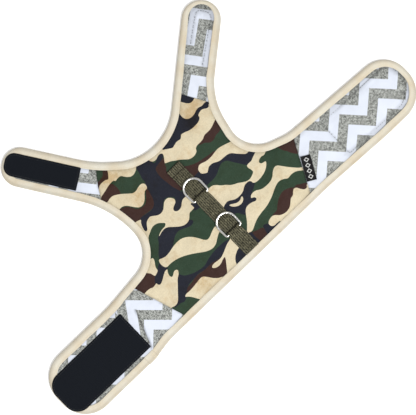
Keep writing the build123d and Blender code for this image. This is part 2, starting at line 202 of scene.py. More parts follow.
NAVY = [
    # centre, from the neck edge down to the front ring
    [(-25, 34), (-9, 30), (-8, 19.5), (-4, 18.5), (2, 22), (8, 20), (3, 15.5), (-3, 14.5), (-10, 13),
     (-12.5, 8), (-13, 0), (-12, -8), (-11, -15), (-9, -22), (-6, -30), (-4, -36), (-14, -37), (-18, -41),
     (-24, -42), (-31, -38), (-30, -33), (-22, -31), (-18, -27), (-20, -23), (-26, -19.5), (-33, -23),
     (-40, -30), (-47, -28), (-52, -24), (-58, -24), (-63, -29), (-66, -33), (-72, -31), (-67, -20),
     (-62, -16), (-54, -17), (-47, -18), (-41, -16), (-37, -11), (-35, -5), (-33.5, 1), (-34, 6), (-30, 10),
     (-29.5, 15), (-28, 20), (-26.5, 26)],
    # under the right neck edge
    [(8, 30), (20, 34), (40, 44), (54, 46), (54, 34), (60, 30), (70, 32), (84, 32), (92, 28), (84, 18),
     (70, 20), (60, 14), (40, 16), (20, 13), (9, 20)],
    # left flank
    [(-62, -45), (-52, -42.5), (-45, -44), (-38, -51), (-30, -55.5), (-24, -55), (-21, -60), (-27, -62),
     (-36, -58), (-42, -56.5), (-48, -58), (-54, -62), (-62, -67.5), (-70, -69), (-75, -68), (-78, -68),
     (-79.5, -74), (-79, -78), (-84, -81), (-92, -86), (-98, -88), (-103, -84), (-97, -75.5), (-91, -73),
     (-87, -70), (-80, -66), (-76, -60), (-72, -56), (-67, -51)],
    # lower left
    [(-76, -90), (-72, -97), (-66, -101), (-58, -104), (-48, -105.5), (-38, -103), (-30, -101.5),
     (-20, -101), (-10, -102), (-4, -105.5), (-14, -109), (-24, -112), (-33, -110.5), (-40, -109),
     (-50, -109), (-58, -107.5), (-66, -108), (-74, -108.5), (-80, -111), (-86, -116), (-88, -117.5),
     (-92, -119), (-96, -117.5), (-105, -116), (-99, -111), (-92, -104), (-84, -96), (-79, -91)],
    [(-21, -142), (-20.5, -129), (-17.5, -123.5), (-13, -119), (-8, -117), (0, -116), (0, -142)],
    [(-12, -52), (-11, -47), (-8, -43.5), (0, -44), (0, -52), (-6, -54)],
    # right of the front ring and along the right armhole
    [(12, -26), (23, -24), (25, -27), (29, -30), (33, -28), (38, -26.5), (44, -28), (50, -30), (56, -31),
     (62, -33), (66, -37), (71, -41.5), (75, -45), (80, -45), (84, -54), (76, -58.5), (70, -57.5),
     (66, -55), (62, -49), (58, -43), (54, -37), (48, -35), (42, -37), (36, -40), (30, -41.5),
     (22, -41.5), (12, -41)],
    # right of the rear ring
    [(12, -71), (21, -69.5), (27, -73.5), (34, -75.5), (42, -75), (48, -71), (53, -69.5), (58.5, -71),
     (59.5, -77), (55, -80.5), (50, -83), (45.5, -86.5), (46.5, -88.5), (49.5, -90), (47.5, -94),
     (40, -92.5), (34, -92), (30, -95), (27, -97), (24, -92.5), (21, -88), (12, -84)],
    [(12, -112), (18, -114), (17.5, -122), (18.5, -134), (12, -134)],
    [(33, -119), (38, -121), (41, -126), (47, -127), (46, -132), (30, -134), (31, -123)],
    [(86.5, -128.3), (94, -128.4), (97, -131), (95, -134), (85, -134)],
    # foot of the right neck strap
    [(60, 49), (66, 54), (70, 55), (75, 49), (80, 41), (77, 39.5), (73, 38.5), (68.5, 40), (65, 44)],
]
BROWN = [
    [(-82, 33), (-70, 34.6), (-62, 36.5), (-58, 34), (-57, 28), (-58, 22), (-60, 18), (-64, 20),
     (-68, 22), (-76, 22.5), (-82, 24)],
    [(-75, 41), (-66, 42), (-61, 41.5), (-57, 40), (-50, 49), (-55, 53), (-60, 48.5), (-66, 47.5), (-72, 47)],
    [(-78, 6.5), (-67, 6), (-62, 1.5), (-58, -5), (-53, -8), (-47, -8), (-42, -4.5), (-37, 1.5),
     (-32, 4), (-33, -3), (-35, -9), (-38, -14), (-44, -17.5), (-52, -17), (-60, -16), (-66, -18),
     (-78, -17)],
    [(-10, 14), (-2, 15), (5, 15), (1, 9.5), (-1, 5), (-4, 1), (0, -4), (0, -24), (-9, -24), (-11, -15),
     (-12.5, -6), (-13, 4)],
    [(-130, -66), (-118, -66), (-110, -64), (-103, -62), (-98.5, -66.5), (-95.5, -73), (-95.5, -76),
     (-99, -80), (-101, -86), (-106, -85.5), (-112, -83.5), (-120, -83), (-128, -83)],
    [(-62, -107.5), (-52, -108.5), (-42, -107.5), (-34, -108), (-24, -109.5), (-20, -108), (-20, -113),
     (-23, -117), (-28, -123.5), (-33, -132), (-40, -133), (-47, -129), (-52, -123.5), (-56, -117),
     (-59, -114), (-64, -114), (-72, -115), (-83, -116), (-80, -110.5), (-70, -109)],
    [(12, -8), (19, -11), (24, -13.5), (30, -15.5), (38, -17), (46, -18.5), (52, -19.5), (46, -24),
     (38, -24), (30, -22), (26, -21), (25, -24), (23, -29), (12, -24)],
    [(50, 1), (58, 3), (66, 4), (74, 6.5), (84, 8), (84, -2), (72, -7), (66, -7.5), (60, -9.5),
     (55, -9), (50, -5), (44, -2.5), (46, 0)],
    [(107, -64), (116, -66), (132, -70), (126, -81), (119.5, -88), (114, -83), (111, -77), (108, -72)],
    [(48, -118), (56, -117), (61, -113), (68, -108.5), (76, -106.5), (84, -109), (88, -112), (92, -112),
     (96, -114.5), (102, -118), (106, -122), (98, -125), (91.5, -121), (89, -116.5), (87, -115),
     (84, -117), (80, -119.5), (76, -121.5), (71, -125.5), (64, -128), (57, -127), (50, -122)],
    [(17, -117), (24, -118), (30, -120), (32, -124), (30, -134), (18, -134)],
]

# Zigzag print: where a peak of a grey band's upper edge lies on each panel, and how the print is turned there
ZIGZAG_HALF = 22.6  # peak to valley, along the band
ZIGZAG_HEIGHT = 22.0
ZIGZAG_PITCH = 31.0  # one grey band and one white one
ZIGZAGS = {
    "right_wing": ((138, -86), -2.7),
    "left_wing": ((-139.4, -86.5), 0.0),
    "left_neck": ((-89.3, 86.4), -7.0),
    "right_neck": ((144, 101.5), -8.0),
    "lining": ((0, 0), 0.0),
}

# A pleat beside the girth hook tape turns the print about a point; its ridge is a chain of points
PLEAT_AT, PLEAT_TURN = (-139.4, -72.4), 11.0
PLEAT_RIDGE = [(-139.2, -63), (-138.7, -87.4), (-154.8, -130.1), (-157.5, -142)]
PLEAT_FAR = [(-161, -142), (-157, -63)]

# Handling stains on the camouflage: place, reach
STAINS = [(-54, 45, 11), (-60, 38, 8), (67, 34, 10), (60, 30, 8), (-45, 4, 12), (52, 22, 9), (-62, -120, 10)]

# Spots where the tape is eased to another width: place, share of the width, reach
TAPE_SPOTS = [(163, 114, 0.58, 24), (130, 95, 0.86, 40), (273, -107, 0.82, 34), (-190, -63, 1.08, 70)]

# ---------------------------------------------------------------- plane geometry


def smooth(share):
    """A share from 0 to 1, eased at both ends."""
    share = np.clip(share, 0, 1)
    return share * share * (3 - 2 * share)


def bell(distance, reach):
    """A smooth bump: 1 at no distance, and nearly 0 at twice the reach."""
    return np.exp(-(distance / reach) ** 2)


def waves(points, size, layer):
    """Smooth noise in the plane, with lumps of the given size. Each layer has its own."""
    return np.array([noise.noise(Vector((x / size, y / size, layer))) for x, y in points])


def leftward(direction):
    """A direction in the plane, or each row of directions, turned a quarter to the left."""
    return np.stack((-direction[..., 1], direction[..., 0]), axis=-1)


def directions(chain):
    """The direction of a closed chain at each of its points."""
    along = np.roll(chain, -1, axis=0) - np.roll(chain, 1, axis=0)
    return along / np.linalg.norm(along, axis=1)[:, None]


def along_chain(points):
    """How far along a chain each of its points is."""
    return np.concatenate(([0], np.cumsum(np.linalg.norm(np.diff(points, axis=0), axis=1))))


def even(points, step, closed=False):
    """The same chain with its points evenly spaced."""
    points = np.asarray(points, float)
    if closed:
        points = np.vstack((points, points[:1]))
    along = along_chain(points)
    at = np.linspace(0, along[-1], max(2, int(round(along[-1] / step))) + 1)
    if closed:
        at = at[:-1]
    return np.column_stack([np.interp(at, along, points[:, k]) for k in range(2)])


def rounded(corners, step):
    """A closed chain of corners rounded by their radii, as evenly spaced points."""
    chain = []
    for i, (*corner, radius) in enumerate(corners):
        corner = np.array(corner, float)
        before, after = (np.array(corners[k % len(corners)][:2], float) - corner for k in (i - 1, i + 1))
        before /= np.linalg.norm(before)
        after /= np.linalg.norm(after)
        half = math.acos(np.clip(before @ after, -1, 1)) / 2
        middle = before + after
        centre = corner + middle / np.linalg.norm(middle) * radius / math.sin(half)
        first, last = (corner + way * radius / math.tan(half) - centre for way in (before, after))
        sweep = math.atan2(first[0] * last[1] - first[1] * last[0], first @ last)
        steps = max(2, int(abs(sweep) * radius / step) + 1)
        for angle in np.linspace(0, sweep, steps + 1):
            chain.append(centre + (math.cos(angle) * first + math.sin(angle) * leftward(first)))
    return even(chain, step, closed=True)


def curve_through(points, closed=True, pieces=5):
    """A smooth chain through given points."""
    p = np.array(points, float)
    count = len(p)
    out = []
    for i in range(count if closed else count - 1):
        a, b = p[i], p[(i + 1) % count]
        before = p[i - 1] if closed or i else a
        after = p[(i + 2) % count] if closed or i + 2 < count else b
        for t in np.linspace(0, 1, pieces, endpoint=False):
            out.append(
                0.5 * (2 * a + (b - before) * t + (2 * before - 5 * a + 4 * b - after) * t ** 2
                       + (3 * a - before - 3 * b + after) * t ** 3)
            )
    if not closed:
        out.append(p[-1])
    return np.array(out)


def inside(points, polygon):
    """Which points lie in a polygon."""
    result = np.zeros(len(points), bool)
    near = np.nonzero(((points >= polygon.min(0)) & (points <= polygon.max(0))).all(1))[0]
    x, y = points[near].T
    odd = np.zeros(len(near), bool)
    for (x0, y0), (x1, y1) in zip(polygon, np.roll(polygon, -1, axis=0)):
        if y0 != y1:
            odd ^= ((y0 > y) != (y1 > y)) & (x < (x1 - x0) * (y - y0) / (y1 - y0) + x0)
    result[near] = odd
    return result


def distance_to_chain(points, chain, closed=False):
    """How far each point is from a chain of segments."""
    best = np.full(len(points), np.inf)
    for a, b in zip(chain, np.roll(chain, -1, axis=0) if closed else chain[1:]):
        d = b - a
        t = np.clip(((points - a) @ d) / (d @ d), 0, 1)
        best = np.minimum(best, np.linalg.norm(points - a - t[:, None] * d, axis=1))
    return best


def tree_of(points):
    """A search tree over points in the plane."""
    tree = kdtree.KDTree(len(points))
    for k, p in enumerate(points):
        tree.insert((*p, 0), k)
    tree.balance()
    return tree


EDGE = rounded(OUTLINE, EDGE_STEP)
EDGE_ALONG = directions(EDGE)
EDGE_IN = leftward(EDGE_ALONG)
EDGE_TREE = tree_of(EDGE)

# ---------------------------------------------------------------- folds and cells

JOINTS = {j["name"]: j for j in frame["joints"]}

# The cells that the cloth is cut into, each named with one fold, and the centre with none
CELLS = {
    "centre": None,
    "left_neck": "left_neck_strap_fold",
    "right_neck": "right_neck_strap_fold",
    "left_flank": "left_wing_fold",
    "right_flank": "right_wing_fold",
    "left_end": "left_wing_end_fold",
    "right_end": "right_wing_end_fold",
}
NECK_CUT = -FOLD_REACH - 4.0  # where the neck cells start, from their folds
NECK_CUT_HALF = 42.0
FLANK_X, FLANK_Y = 74.0, -14.0  # the inner side and the top of the flank cells
FLANK_FAR = 90.0  # past the armholes
LEFT_END_X, RIGHT_END_X = -128.0, 140.0  # where the wings' end cells start
CUT_LOW, CUT_HIGH = -150.0, -50.0  # past the wings' lower and upper edges
CUT_STEP = 2.5


def fold(name):
    """A fold's point and the way that its outer piece leaves it, in the plane."""
    joint = JOINTS[name]
    axis = joint["axis"]
    return np.array(joint["pos_m"][:2]) / MM, np.array((axis[1], -axis[0]))


def cell_of(points):
    """The cell name of each point."""
    x, y = points.T
    names = np.full(len(points), "centre", dtype=object)
    for side, sign in (("left", -1), ("right", 1)):
        at, out = fold(f"{side}_neck_strap_fold")
        names[((points - at) @ out > NECK_CUT) & (y > 0) & (x * sign > 0)] = f"{side}_neck"
        names[(x * sign > FLANK_X) & (y < FLANK_Y)] = f"{side}_flank"
    names[(x < LEFT_END_X) & (y < 0)] = "left_end"
    names[(x > RIGHT_END_X) & (y < 0)] = "right_end"
    return names


def cut_lines():
    """The lines between the cells."""
    lines = []
    for side in ("left", "right"):
        at, out = fold(f"{side}_neck_strap_fold")
        start, reach = at + out * NECK_CUT, leftward(out) * NECK_CUT_HALF
        lines.append([start - reach, start + reach])
    for sign in (-1, 1):
        lines.append([(sign * FLANK_X, CUT_LOW), (sign * FLANK_X, FLANK_Y)])
        lines.append([(sign * FLANK_X, FLANK_Y), (sign * FLANK_FAR, FLANK_Y)])
    lines += [[(x, CUT_LOW), (x, CUT_HIGH)] for x in (LEFT_END_X, RIGHT_END_X)]
    return [even(line, CUT_STEP) for line in lines]


def place(obj, slot, cell, *nodes):
    """Takes a piece's material slot, which is not used, and hides the CAD nodes that it stands for.

    A piece in the centre cell rides on the torso's body; any other has its place baked into its mesh.
    """
    name = CELLS[cell]
    if name is None:
        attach(obj, "torso")
    else:
        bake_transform(obj)
    if nodes:
        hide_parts(*nodes)


# ---------------------------------------------------------------- materials


class Nodes:
    """A material's node tree, with short calls for the nodes that cloth needs."""

    def __init__(self, name):
        self.material = bpy.data.materials.new(name)
        self.material.use_nodes = True
        self.tree = self.material.node_tree
        self.shader = self.tree.nodes["Principled BSDF"]

    def put(self, socket, value):
        """Sets a socket to a number or a colour, or links another node's output into it."""
        if isinstance(value, bpy.types.NodeSocket):
            self.tree.links.new(value, socket)
        else:
            socket.default_value = (*value, 1.0) if socket.type == "RGBA" else value

    def add(self, kind, inputs, **settings):
        node = self.tree.nodes.new(kind)
        for key, value in settings.items():
            setattr(node, key, value)
        for key, value in inputs.items():
            self.put(node.inputs[key], value)
        return node

    def math(self, operation, *values, clamp=False):
        inputs = dict(enumerate(values))
        return self.add("ShaderNodeMath", inputs, operation=operation, use_clamp=clamp).outputs[0]

    def times(self, first, *others):
        for other in others:
            first = self.math("MULTIPLY", first, other)
        return first

    def plus(self, a, b, clamp=False):
        return self.math("ADD", a, b, clamp=clamp)

    def away(self, a, b):
        """How far apart two numbers are."""
        return self.math("ABSOLUTE", self.math("SUBTRACT", a, b))

    def sine(self, value, pitch):
        return self.math("SINE", self.times(value, math.pi / pitch))

    def ridges(self, value, pitch):
        """Rounded ridges from 0 to 1, one for each pitch."""
        return self.math("ABSOLUTE", self.sine(value, pitch))

    def attribute(self, name, output="Vector"):
        return self.add("ShaderNodeAttribute", {}, attribute_name=name).outputs[output]

    def axes(self, vector):
        return self.add("ShaderNodeSeparateXYZ", {0: vector}).outputs[:2]

    def noise(self, vector, scale, detail=3.0, roughness=0.55):
        """Noise with a scale for all axes, or one for each."""
        if isinstance(scale, tuple):
            vector = self.add("ShaderNodeVectorMath", {0: vector, 1: scale}, operation="MULTIPLY").outputs[0]
            scale = 1.0
        inputs = {"Vector": vector, "Scale": scale, "Detail": detail, "Roughness": roughness}
        return self.add("ShaderNodeTexNoise", inputs).outputs["Fac"]

    def between(self, value, low, high, out_low=0.0, out_high=1.0, smooth=False):
        """A number moved from one range to another, and kept within it."""
        inputs = {"Value": value, "From Min": low, "From Max": high, "To Min": out_low, "To Max": out_high}
        kind = "SMOOTHSTEP" if smooth else "LINEAR"
        return self.add("ShaderNodeMapRange", inputs, interpolation_type=kind).outputs["Result"]

    def mix(self, factor, a, b, blend="MIX"):
        inputs = {0: factor, 6: a, 7: b}
        return self.add("ShaderNodeMix", inputs, data_type="RGBA", blend_type=blend).outputs[2]

    def shaded(self, colour, share):
        """A colour made darker or lighter by a share."""
        grey = self.add("ShaderNodeCombineColor", {k: share for k in range(3)}).outputs[0]
        return self.mix(1.0, colour, grey, "MULTIPLY")

    def bump(self, height, strength, distance):
        node = self.add("ShaderNodeBump", {"Strength": strength, "Distance": distance, "Height": height})
        self.put(self.shader.inputs["Normal"], node.outputs[0])

    def weave(self, vector, pitch, turn=0.0):
        """A plain weave's height, 0 to 1: two sets of threads that pass over and under each other."""
        if turn:
            inputs = {"Vector": vector, "Angle": turn}
            vector = self.add("ShaderNodeVectorRotate", inputs, rotation_type="Z_AXIS").outputs[0]
        warp, weft = (self.sine(axis, pitch) for axis in self.axes(vector))
        threads = self.plus(*(self.times(self.math("ABSOLUTE", wave), 0.5) for wave in (warp, weft)))
        return self.plus(self.times(threads, 0.7), self.times(warp, weft, 0.3))

    def cloth(self, roughness, sheen):
        inputs = self.shader.inputs
        inputs["Roughness"].default_value = roughness
        inputs["Sheen Weight"].default_value = sheen
        inputs["Sheen Roughness"].default_value = 0.5
        inputs["Specular IOR Level"].default_value = 0.12

    def done(self, colour):
        self.put(self.shader.inputs["Base Color"], colour)
        return self.material


GREEN_INK = (0.034, 0.060, 0.037)
BROWN_INK = (0.052, 0.027, 0.023)
NAVY_INK = (0.0205, 0.0225, 0.033)
TAN_INK = (0.715, 0.625, 0.440)
INKS = np.array([(*ink, 1.0) for ink in (GREEN_INK, BROWN_INK, NAVY_INK, TAN_INK)])

GREY_THREAD = (0.31, 0.32, 0.30)
WHITE_THREAD = (0.72, 0.76, 0.85)


def camo_cloth():
    """Printed cotton: the print's colour comes with the mesh, and the weave, ink, wear and painted shade
    beside the tape and seams vary it.
    """
    n = Nodes("camo_cotton")
    flat, ink = n.attribute("flat"), n.attribute("print", "Color")
    weave = n.weave(flat, 0.55)
    broad = n.noise(flat, 0.05, detail=2.0)
    fine = n.noise(flat, 0.9, detail=4.0, roughness=0.7)
    # the 'rim' attribute brings in painted shade beside the tape, seams, loop boxes and pleat ridge
    shade = n.times(
        n.between(broad, 0.3, 0.7, 0.93, 1.05), n.between(fine, 0.25, 0.75, 0.85, 1.13),
        n.between(weave, 0.0, 1.0, 0.86, 1.08), n.attribute("rim", "Fac"),
    )
    cloudy = n.noise(flat, 0.11, detail=5.0, roughness=0.65)
    soiled = n.times(n.attribute("soil", "Fac"), n.between(cloudy, 0.3, 0.6, 0.25, 1.0))
    stain = n.plus(n.between(cloudy, 0.48, 0.72, 0.0, 0.6), soiled, clamp=True)
    toned = n.mix(stain, ink, n.mix(1.0, ink, (0.80, 0.69, 0.56), "MULTIPLY"))
    faded = n.mix(n.between(fine, 0.58, 0.78, 0.0, 0.05), toned, (0.5, 0.48, 0.42))
    n.cloth(roughness=0.9, sheen=0.02)
    n.bump(n.plus(weave, n.times(fine, 0.5)), 0.6, 0.0003)
    return n.done(n.shaded(faded, shade))


def zigzag_cloth():
    """White cotton with heathered grey zigzag bands, worked out from the print's own coordinates."""
    n = Nodes("zigzag_cotton")
    flat = n.attribute("flat")
    u, v = n.axes(n.attribute("zigzag"))
    turn = n.away(1.0, n.times(n.math("FRACT", u), 2.0))
    drop = n.times(n.math("SUBTRACT", 1.0, turn), ZIGZAG_HEIGHT / ZIGZAG_PITCH)
    ragged = n.times(n.math("SUBTRACT", n.noise(flat, 1.2, detail=2.0), 0.5), 0.018)
    band = n.math("FRACT", n.plus(n.plus(v, drop), ragged))
    grey = n.between(n.away(band, 0.75), 0.246, 0.256, 1.0, 0.0, smooth=True)
    weave = n.weave(flat, 0.6)
    along, across = (n.noise(flat, scale, 4.0, 0.85) for scale in ((0.3, 0.8, 1.0), (0.8, 0.3, 1.0)))
    heather = n.between(n.times(along, across), 0.185, 0.315, 0.26, 1.68)
    soil = n.between(n.noise(flat, 0.06, detail=2.0), 0.3, 0.7, 0.96, 1.03)
    colour = n.mix(grey, n.shaded(WHITE_THREAD, soil), n.shaded(GREY_THREAD, heather))
    n.cloth(roughness=0.88, sheen=0.03)
    n.bump(n.plus(weave, n.times(along, 0.4)), 0.45, 0.00022)
    # the 'rim' attribute darkens the colour with painted shade beside the tape, seams, loop boxes and pleat
    # ridge
    return n.done(n.shaded(colour, n.times(n.between(weave, 0.0, 1.0, 0.9, 1.06), n.attribute("rim", "Fac"))))


def tape_cloth():
    """Cream cotton tape with a fine weave, a warmer tone in patches where it is handled, and darker round its
    outer fold.
    """
    n = Nodes("cream_cotton_tape")
    flat = n.attribute("flat")
    weave = n.weave(flat, 0.5)
    broad = n.noise(flat, 0.035, detail=3.0)
    fine = n.noise(flat, 0.8, detail=4.0, roughness=0.7)
    tone = n.mix(n.between(broad, 0.35, 0.68), (0.745, 0.705, 0.595), (0.69, 0.595, 0.44))
    turned = n.between(n.axes(flat)[1], -3.2, 0.5, 0.80, 1.0, smooth=True)
    shade = n.times(n.between(fine, 0.25, 0.75, 0.9, 1.07), n.between(weave, 0.0, 1.0, 0.9, 1.05), turned)
    n.cloth(roughness=0.92, sheen=0.05)
    n.bump(n.plus(weave, n.times(fine, 0.6)), 0.5, 0.00025)
    return n.done(n.shaded(tone, shade))


def webbing_cloth():
    """Olive ribbed webbing: paler crowns and darker gaps between its yarns, as painted highlight and painted
    shade from the ribs' height.
    """
    n = Nodes("olive_webbing")
    flat = n.attribute("flat")
    x, y = n.axes(flat)
    picks = n.ridges(y, 1.0)
    height = n.times(n.ridges(x, 2 * WEBBING_HALF / WEBBING_RIBS), n.plus(n.times(picks, 0.5), 0.5))
    broad = n.noise(flat, (0.4, 0.12, 1.0))
    flecks = n.noise(flat, (0.8, 0.38, 1.0), roughness=0.8)
    # rib height paints the crowns lighter and the gaps near black: painted highlight and painted shade; the
    # flecks are the yarn's own tone
    lit = n.plus(height, n.between(flecks, 0.36, 0.64, -0.7, 0.7))
    tone = n.mix(n.between(lit, 0.0, 1.1), (0.006, 0.006, 0.004), (0.158, 0.147, 0.092))
    # painted shade on the tunnels' neck sides, at the webbing's end and under its turned end; painted
    # highlight on the tunnels' hem-side slopes
    for band_y, reach, light in WEBBING_PAINTED_SHADE_BANDS:
        tone = n.shaded(tone, n.between(n.away(y, band_y), 0.0, reach, light, 1.0, smooth=True))
    n.cloth(roughness=0.8, sheen=0.03)
    n.bump(height, 0.8, 0.0004)
    return n.done(n.shaded(tone, n.between(broad, 0.3, 0.7, 0.7, 1.3)))


def hook_cloth():
    """Black hook tape: close rows of stiff hooks that catch a little light."""
    n = Nodes("black_hook_tape")
    flat = n.attribute("flat")
    x, y = n.axes(flat)
    height = n.times(n.ridges(x, 1.3), n.ridges(y, 0.9))
    n.cloth(roughness=0.75, sheen=0.01)
    n.bump(n.plus(height, n.times(n.noise(flat, 1.6), 0.4)), 0.6, 0.0004)
    # the hooks' tops painted lighter than the rows between them: painted highlight
    return n.done(n.mix(n.between(height, 0.2, 0.9), (0.0025, 0.0035, 0.006), (0.010, 0.0135, 0.020)))


def loop_cloth():
    """Black brushed loop tape."""
    n = Nodes("black_loop_tape")
    fuzz = n.noise(n.attribute("flat"), 1.1, detail=6.0, roughness=0.75)
    n.cloth(roughness=0.95, sheen=0.6)
    n.bump(fuzz, 0.9, 0.0006)
    return n.done(n.mix(n.between(fuzz, 0.3, 0.7), (0.010, 0.011, 0.014), (0.040, 0.043, 0.050)))


def thread(name, colour, roughness=0.6):
    """Sewing thread with its twist."""
    n = Nodes(name)
    twist = n.noise(n.attribute("flat"), 3.0, detail=2.0)
    n.cloth(roughness=roughness, sheen=0.2)
    n.bump(twist, 0.4, 0.0001)
    return n.done(n.shaded(colour, n.between(twist, 0.3, 0.7, 0.85, 1.12)))


def label_cloth():
    """Black woven label ground with fine satin ribs."""
    n = Nodes("black_woven_label")
    weave = n.weave(n.attribute("flat"), 0.35, turn=0.5)
    n.cloth(roughness=0.55, sheen=0.1)
    n.bump(weave, 0.5, 0.00015)
    return n.done(n.mix(weave, (0.003, 0.003, 0.0035), (0.011, 0.011, 0.012)))


def nickel():
    """Bright nickel plating with faint drawing marks and dulled patches."""
    n = Nodes("bright_nickel")
    at = n.add("ShaderNodeTexCoord", {}).outputs["Object"]
    patches = n.noise(at, 120.0, detail=2.0)
    n.shader.inputs["Metallic"].default_value = 1.0
    n.put(n.shader.inputs["Roughness"], n.between(patches, 0.3, 0.7, 0.12, 0.24))
    n.bump(n.noise(at, 900.0, detail=4.0, roughness=0.7), 0.06, 0.0001)
    return n.done(n.mix(n.between(patches, 0.3, 0.7), (0.86, 0.85, 0.82), (0.74, 0.73, 0.70)))


CAMO, ZIGZAG, TAPE = camo_cloth(), zigzag_cloth(), tape_cloth()
WEBBING_CLOTH, HOOK, LOOP = webbing_cloth(), hook_cloth(), loop_cloth()
LABEL, NICKEL = label_cloth(), nickel()
CREAM_THREAD = thread("cream_thread", (0.74, 0.66, 0.48))
GREY_STITCH = thread("grey_thread", (0.055, 0.062, 0.066))
OLIVE_THREAD = thread("olive_thread", (0.10, 0.096, 0.062))
BLACK_THREAD = thread("black_thread", (0.012, 0.013, 0.015))
LABEL_THREAD = thread("pale_label_thread", (0.62, 0.62, 0.60), roughness=0.45)

# ---------------------------------------------------------------- meshes

ATTRIBUTE_KEYS = {"FLOAT": "value", "FLOAT_VECTOR": "vector", "FLOAT_COLOR": "color"}


def set_attribute(mesh, name, kind, domain, values):
    """Keeps a number, a vector or a colour for each point or face corner, for the materials."""
    data = mesh.attributes.new(name, kind, domain).data
    data.foreach_set(ATTRIBUTE_KEYS[kind], np.asarray(values, np.float32).ravel())


def make_mesh(name, points, faces, material, smoothed=True, flat=None):
    """A mesh object from millimetre points, with its rest place kept for the materials."""
    points = np.asarray(points, float)
    mesh = bpy.data.meshes.new(name)
    mesh.from_pydata((points * MM).tolist(), [], [tuple(int(i) for i in face) for face in faces])
    mesh.update()
    set_attribute(mesh, "flat", "FLOAT_VECTOR", "POINT", points if flat is None else flat)
    mesh.materials.append(material)
    mesh.polygons.foreach_set("use_smooth", np.full(len(mesh.polygons), smoothed))
    obj = bpy.data.objects.new(name, mesh)
    bpy.context.scene.collection.objects.link(obj)
    return obj


def point_normals(points, faces):
    """The normal at each point, from all the faces round it."""
    normals = np.zeros((len(points), 3))
    for k in range(1, faces.shape[1] - 1):
        a, b, c = (points[faces[:, corner]] for corner in (0, k, k + 1))
        face_normals = np.cross(b - a, c - a)
        for corner in range(faces.shape[1]):
            np.add.at(normals, faces[:, corner], face_normals)
    return normals / np.maximum(np.linalg.norm(normals, axis=1), 1e-12)[:, None]


def use_normals(obj, normals):
    """Shades a piece with the normals of the whole that it was cut from, so that no cut shows."""
    obj.data.normals_split_custom_set_from_vertices([tuple(n) for n in normals])


def sheet_piece(name, whole, faces, chosen, normals, thickness, material):
    """The chosen faces of a sheet as a piece with an upper and a lower side.

    It is open at its edges, which lie under the tape or meet another piece. Also returns its upper points.
    """
    points, faces, used = sub_mesh(whole, faces, chosen)
    below = points - np.array((0, 0, thickness))
    both = np.vstack((faces, faces[:, ::-1] + len(points)))
    obj = make_mesh(name, np.vstack((points, below)), both, material)
    use_normals(obj, np.vstack((normals[used], -normals[used])))
    return obj, points[:, :2]


def sub_mesh(verts, faces, chosen=slice(None)):
    """The chosen faces with only the points that they use, and those points' numbers."""
    used, inverse = np.unique(faces[chosen], return_inverse=True)
    return verts[used], inverse.reshape(-1, 3), used


def tube_faces(rings, size, base=0):
    """The quads of a tube whose rings of points follow each other."""
    return [
        (base + r * size + s, base + r * size + (s + 1) % size,
         base + (r + 1) * size + (s + 1) % size, base + (r + 1) * size + s)
        for r in range(rings - 1) for s in range(size)
    ]


def end_faces(rings, size, base=0):
    """The two faces that close such a tube."""
    last = base + (rings - 1) * size
    return [tuple(range(base, base + size))[::-1], tuple(range(last, last + size))]


def flat_triangles(points, edges, border):
    """Upward triangles through the points, along the edges and within the border, and their doubled areas."""
    verts, _, faces, *_ = delaunay_2d_cdt([Vector(p) for p in points], edges, [], 0, 1e-4)
    verts = np.array([tuple(v) for v in verts])
    faces = np.array([f for f in faces if len(f) == 3])
    faces = faces[inside(verts[faces].mean(1), border)]
    areas = np.cross(verts[faces[:, 1]] - verts[faces[:, 0]], verts[faces[:, 2]] - verts[faces[:, 0]])
    faces[areas < 0] = faces[areas < 0][:, ::-1]
    return verts, faces, areas


def triangulate(chains, step, keep_clear):
    """Triangles over the cloth's area whose edges follow the given chains, each with whether it is closed."""
    border = EDGE + EDGE_IN * CLOTH_EDGE
    points, edges = [], []
    for chain, closed in [(border, True)] + chains:
        first, count = len(points), len(chain)
        points += [tuple(p) for p in chain]
        edges += [(first + k, first + (k + 1) % count) for k in range(count if closed else count - 1)]
    tree = tree_of(points)
    low, high = border.min(0), border.max(0)
    row_step = step * 0.866  # rows of equal-sided triangles
    for row in range(int((high[1] - low[1]) / row_step) + 1):
        y = low[1] + row * row_step
        for x in np.arange(low[0] + (row % 2) * step / 2, high[0], step):
            if tree.find((x, y, 0))[2] > keep_clear:
                points.append((x, y))
    verts, faces, areas = flat_triangles(points, edges, border)
    return verts, faces[np.abs(areas) > 1e-5]


# ---------------------------------------------------------------- outer cloth

SEAM_CHAINS = [np.array(s, float) for s in (LEFT_SEAM, RIGHT_SEAM, LEFT_NECK_SEAM, RIGHT_NECK_SEAM)]
PLEAT = np.array(PLEAT_RIDGE, float)
LOOP_BOXES = [even(GIRTH_LOOP + GIRTH_LOOP[:1], 3.0), curve_through(NECK_LOOP, closed=False, pieces=4)]
WAIST_Y = -20.0  # between the neck straps' seams and the wings'

# What holds the cloth down in the simulation, and how far each side of a line
WEBBING_HOLD, SEAM_HOLD, LOOP_HOLD = WEBBING_HALF - 1, 1.6, 2.0
PUFF_STEP, PUFF_CLEAR = 5.0, 2.2  # spacing of the simulated cloth's points
PUFF_FRAMES = 24
PUFF_SETTINGS = {
    "quality": 6, "mass": 0.2, "tension_stiffness": 15, "compression_stiffness": 15,
    "shear_stiffness": 8, "bending_stiffness": 0.4, "shrink_min": -0.012, "vertex_group_mass": "sewn",
}
PUFF_PUSH = (0, 0, 3.0)  # the padding's push, in place of gravity

# Relief of the outer cloth: each feature's height or depth, and its reach
PUCKER, PUCKER_FROM_EDGE, PUCKER_REACH, PUCKER_SIZE = 0.45, 11.0, 7.0, 7.0
TAPE_GROOVE, TAPE_GROOVE_REACH = 0.35, 1.5
SEAM_GROOVE, SEAM_GROOVE_REACH = 0.55, 1.1
LOOP_GROOVE, LOOP_GROOVE_REACH = 0.6, 1.2
GATHER, GATHER_REACH, GATHER_SIZE = 0.4, 5.0, 3.5
PLEAT_HEIGHT, PLEAT_REACH = 0.6, 7.0
RING_BED_EASE = 5.0  # how soon the cloth rises again beside a ring's place


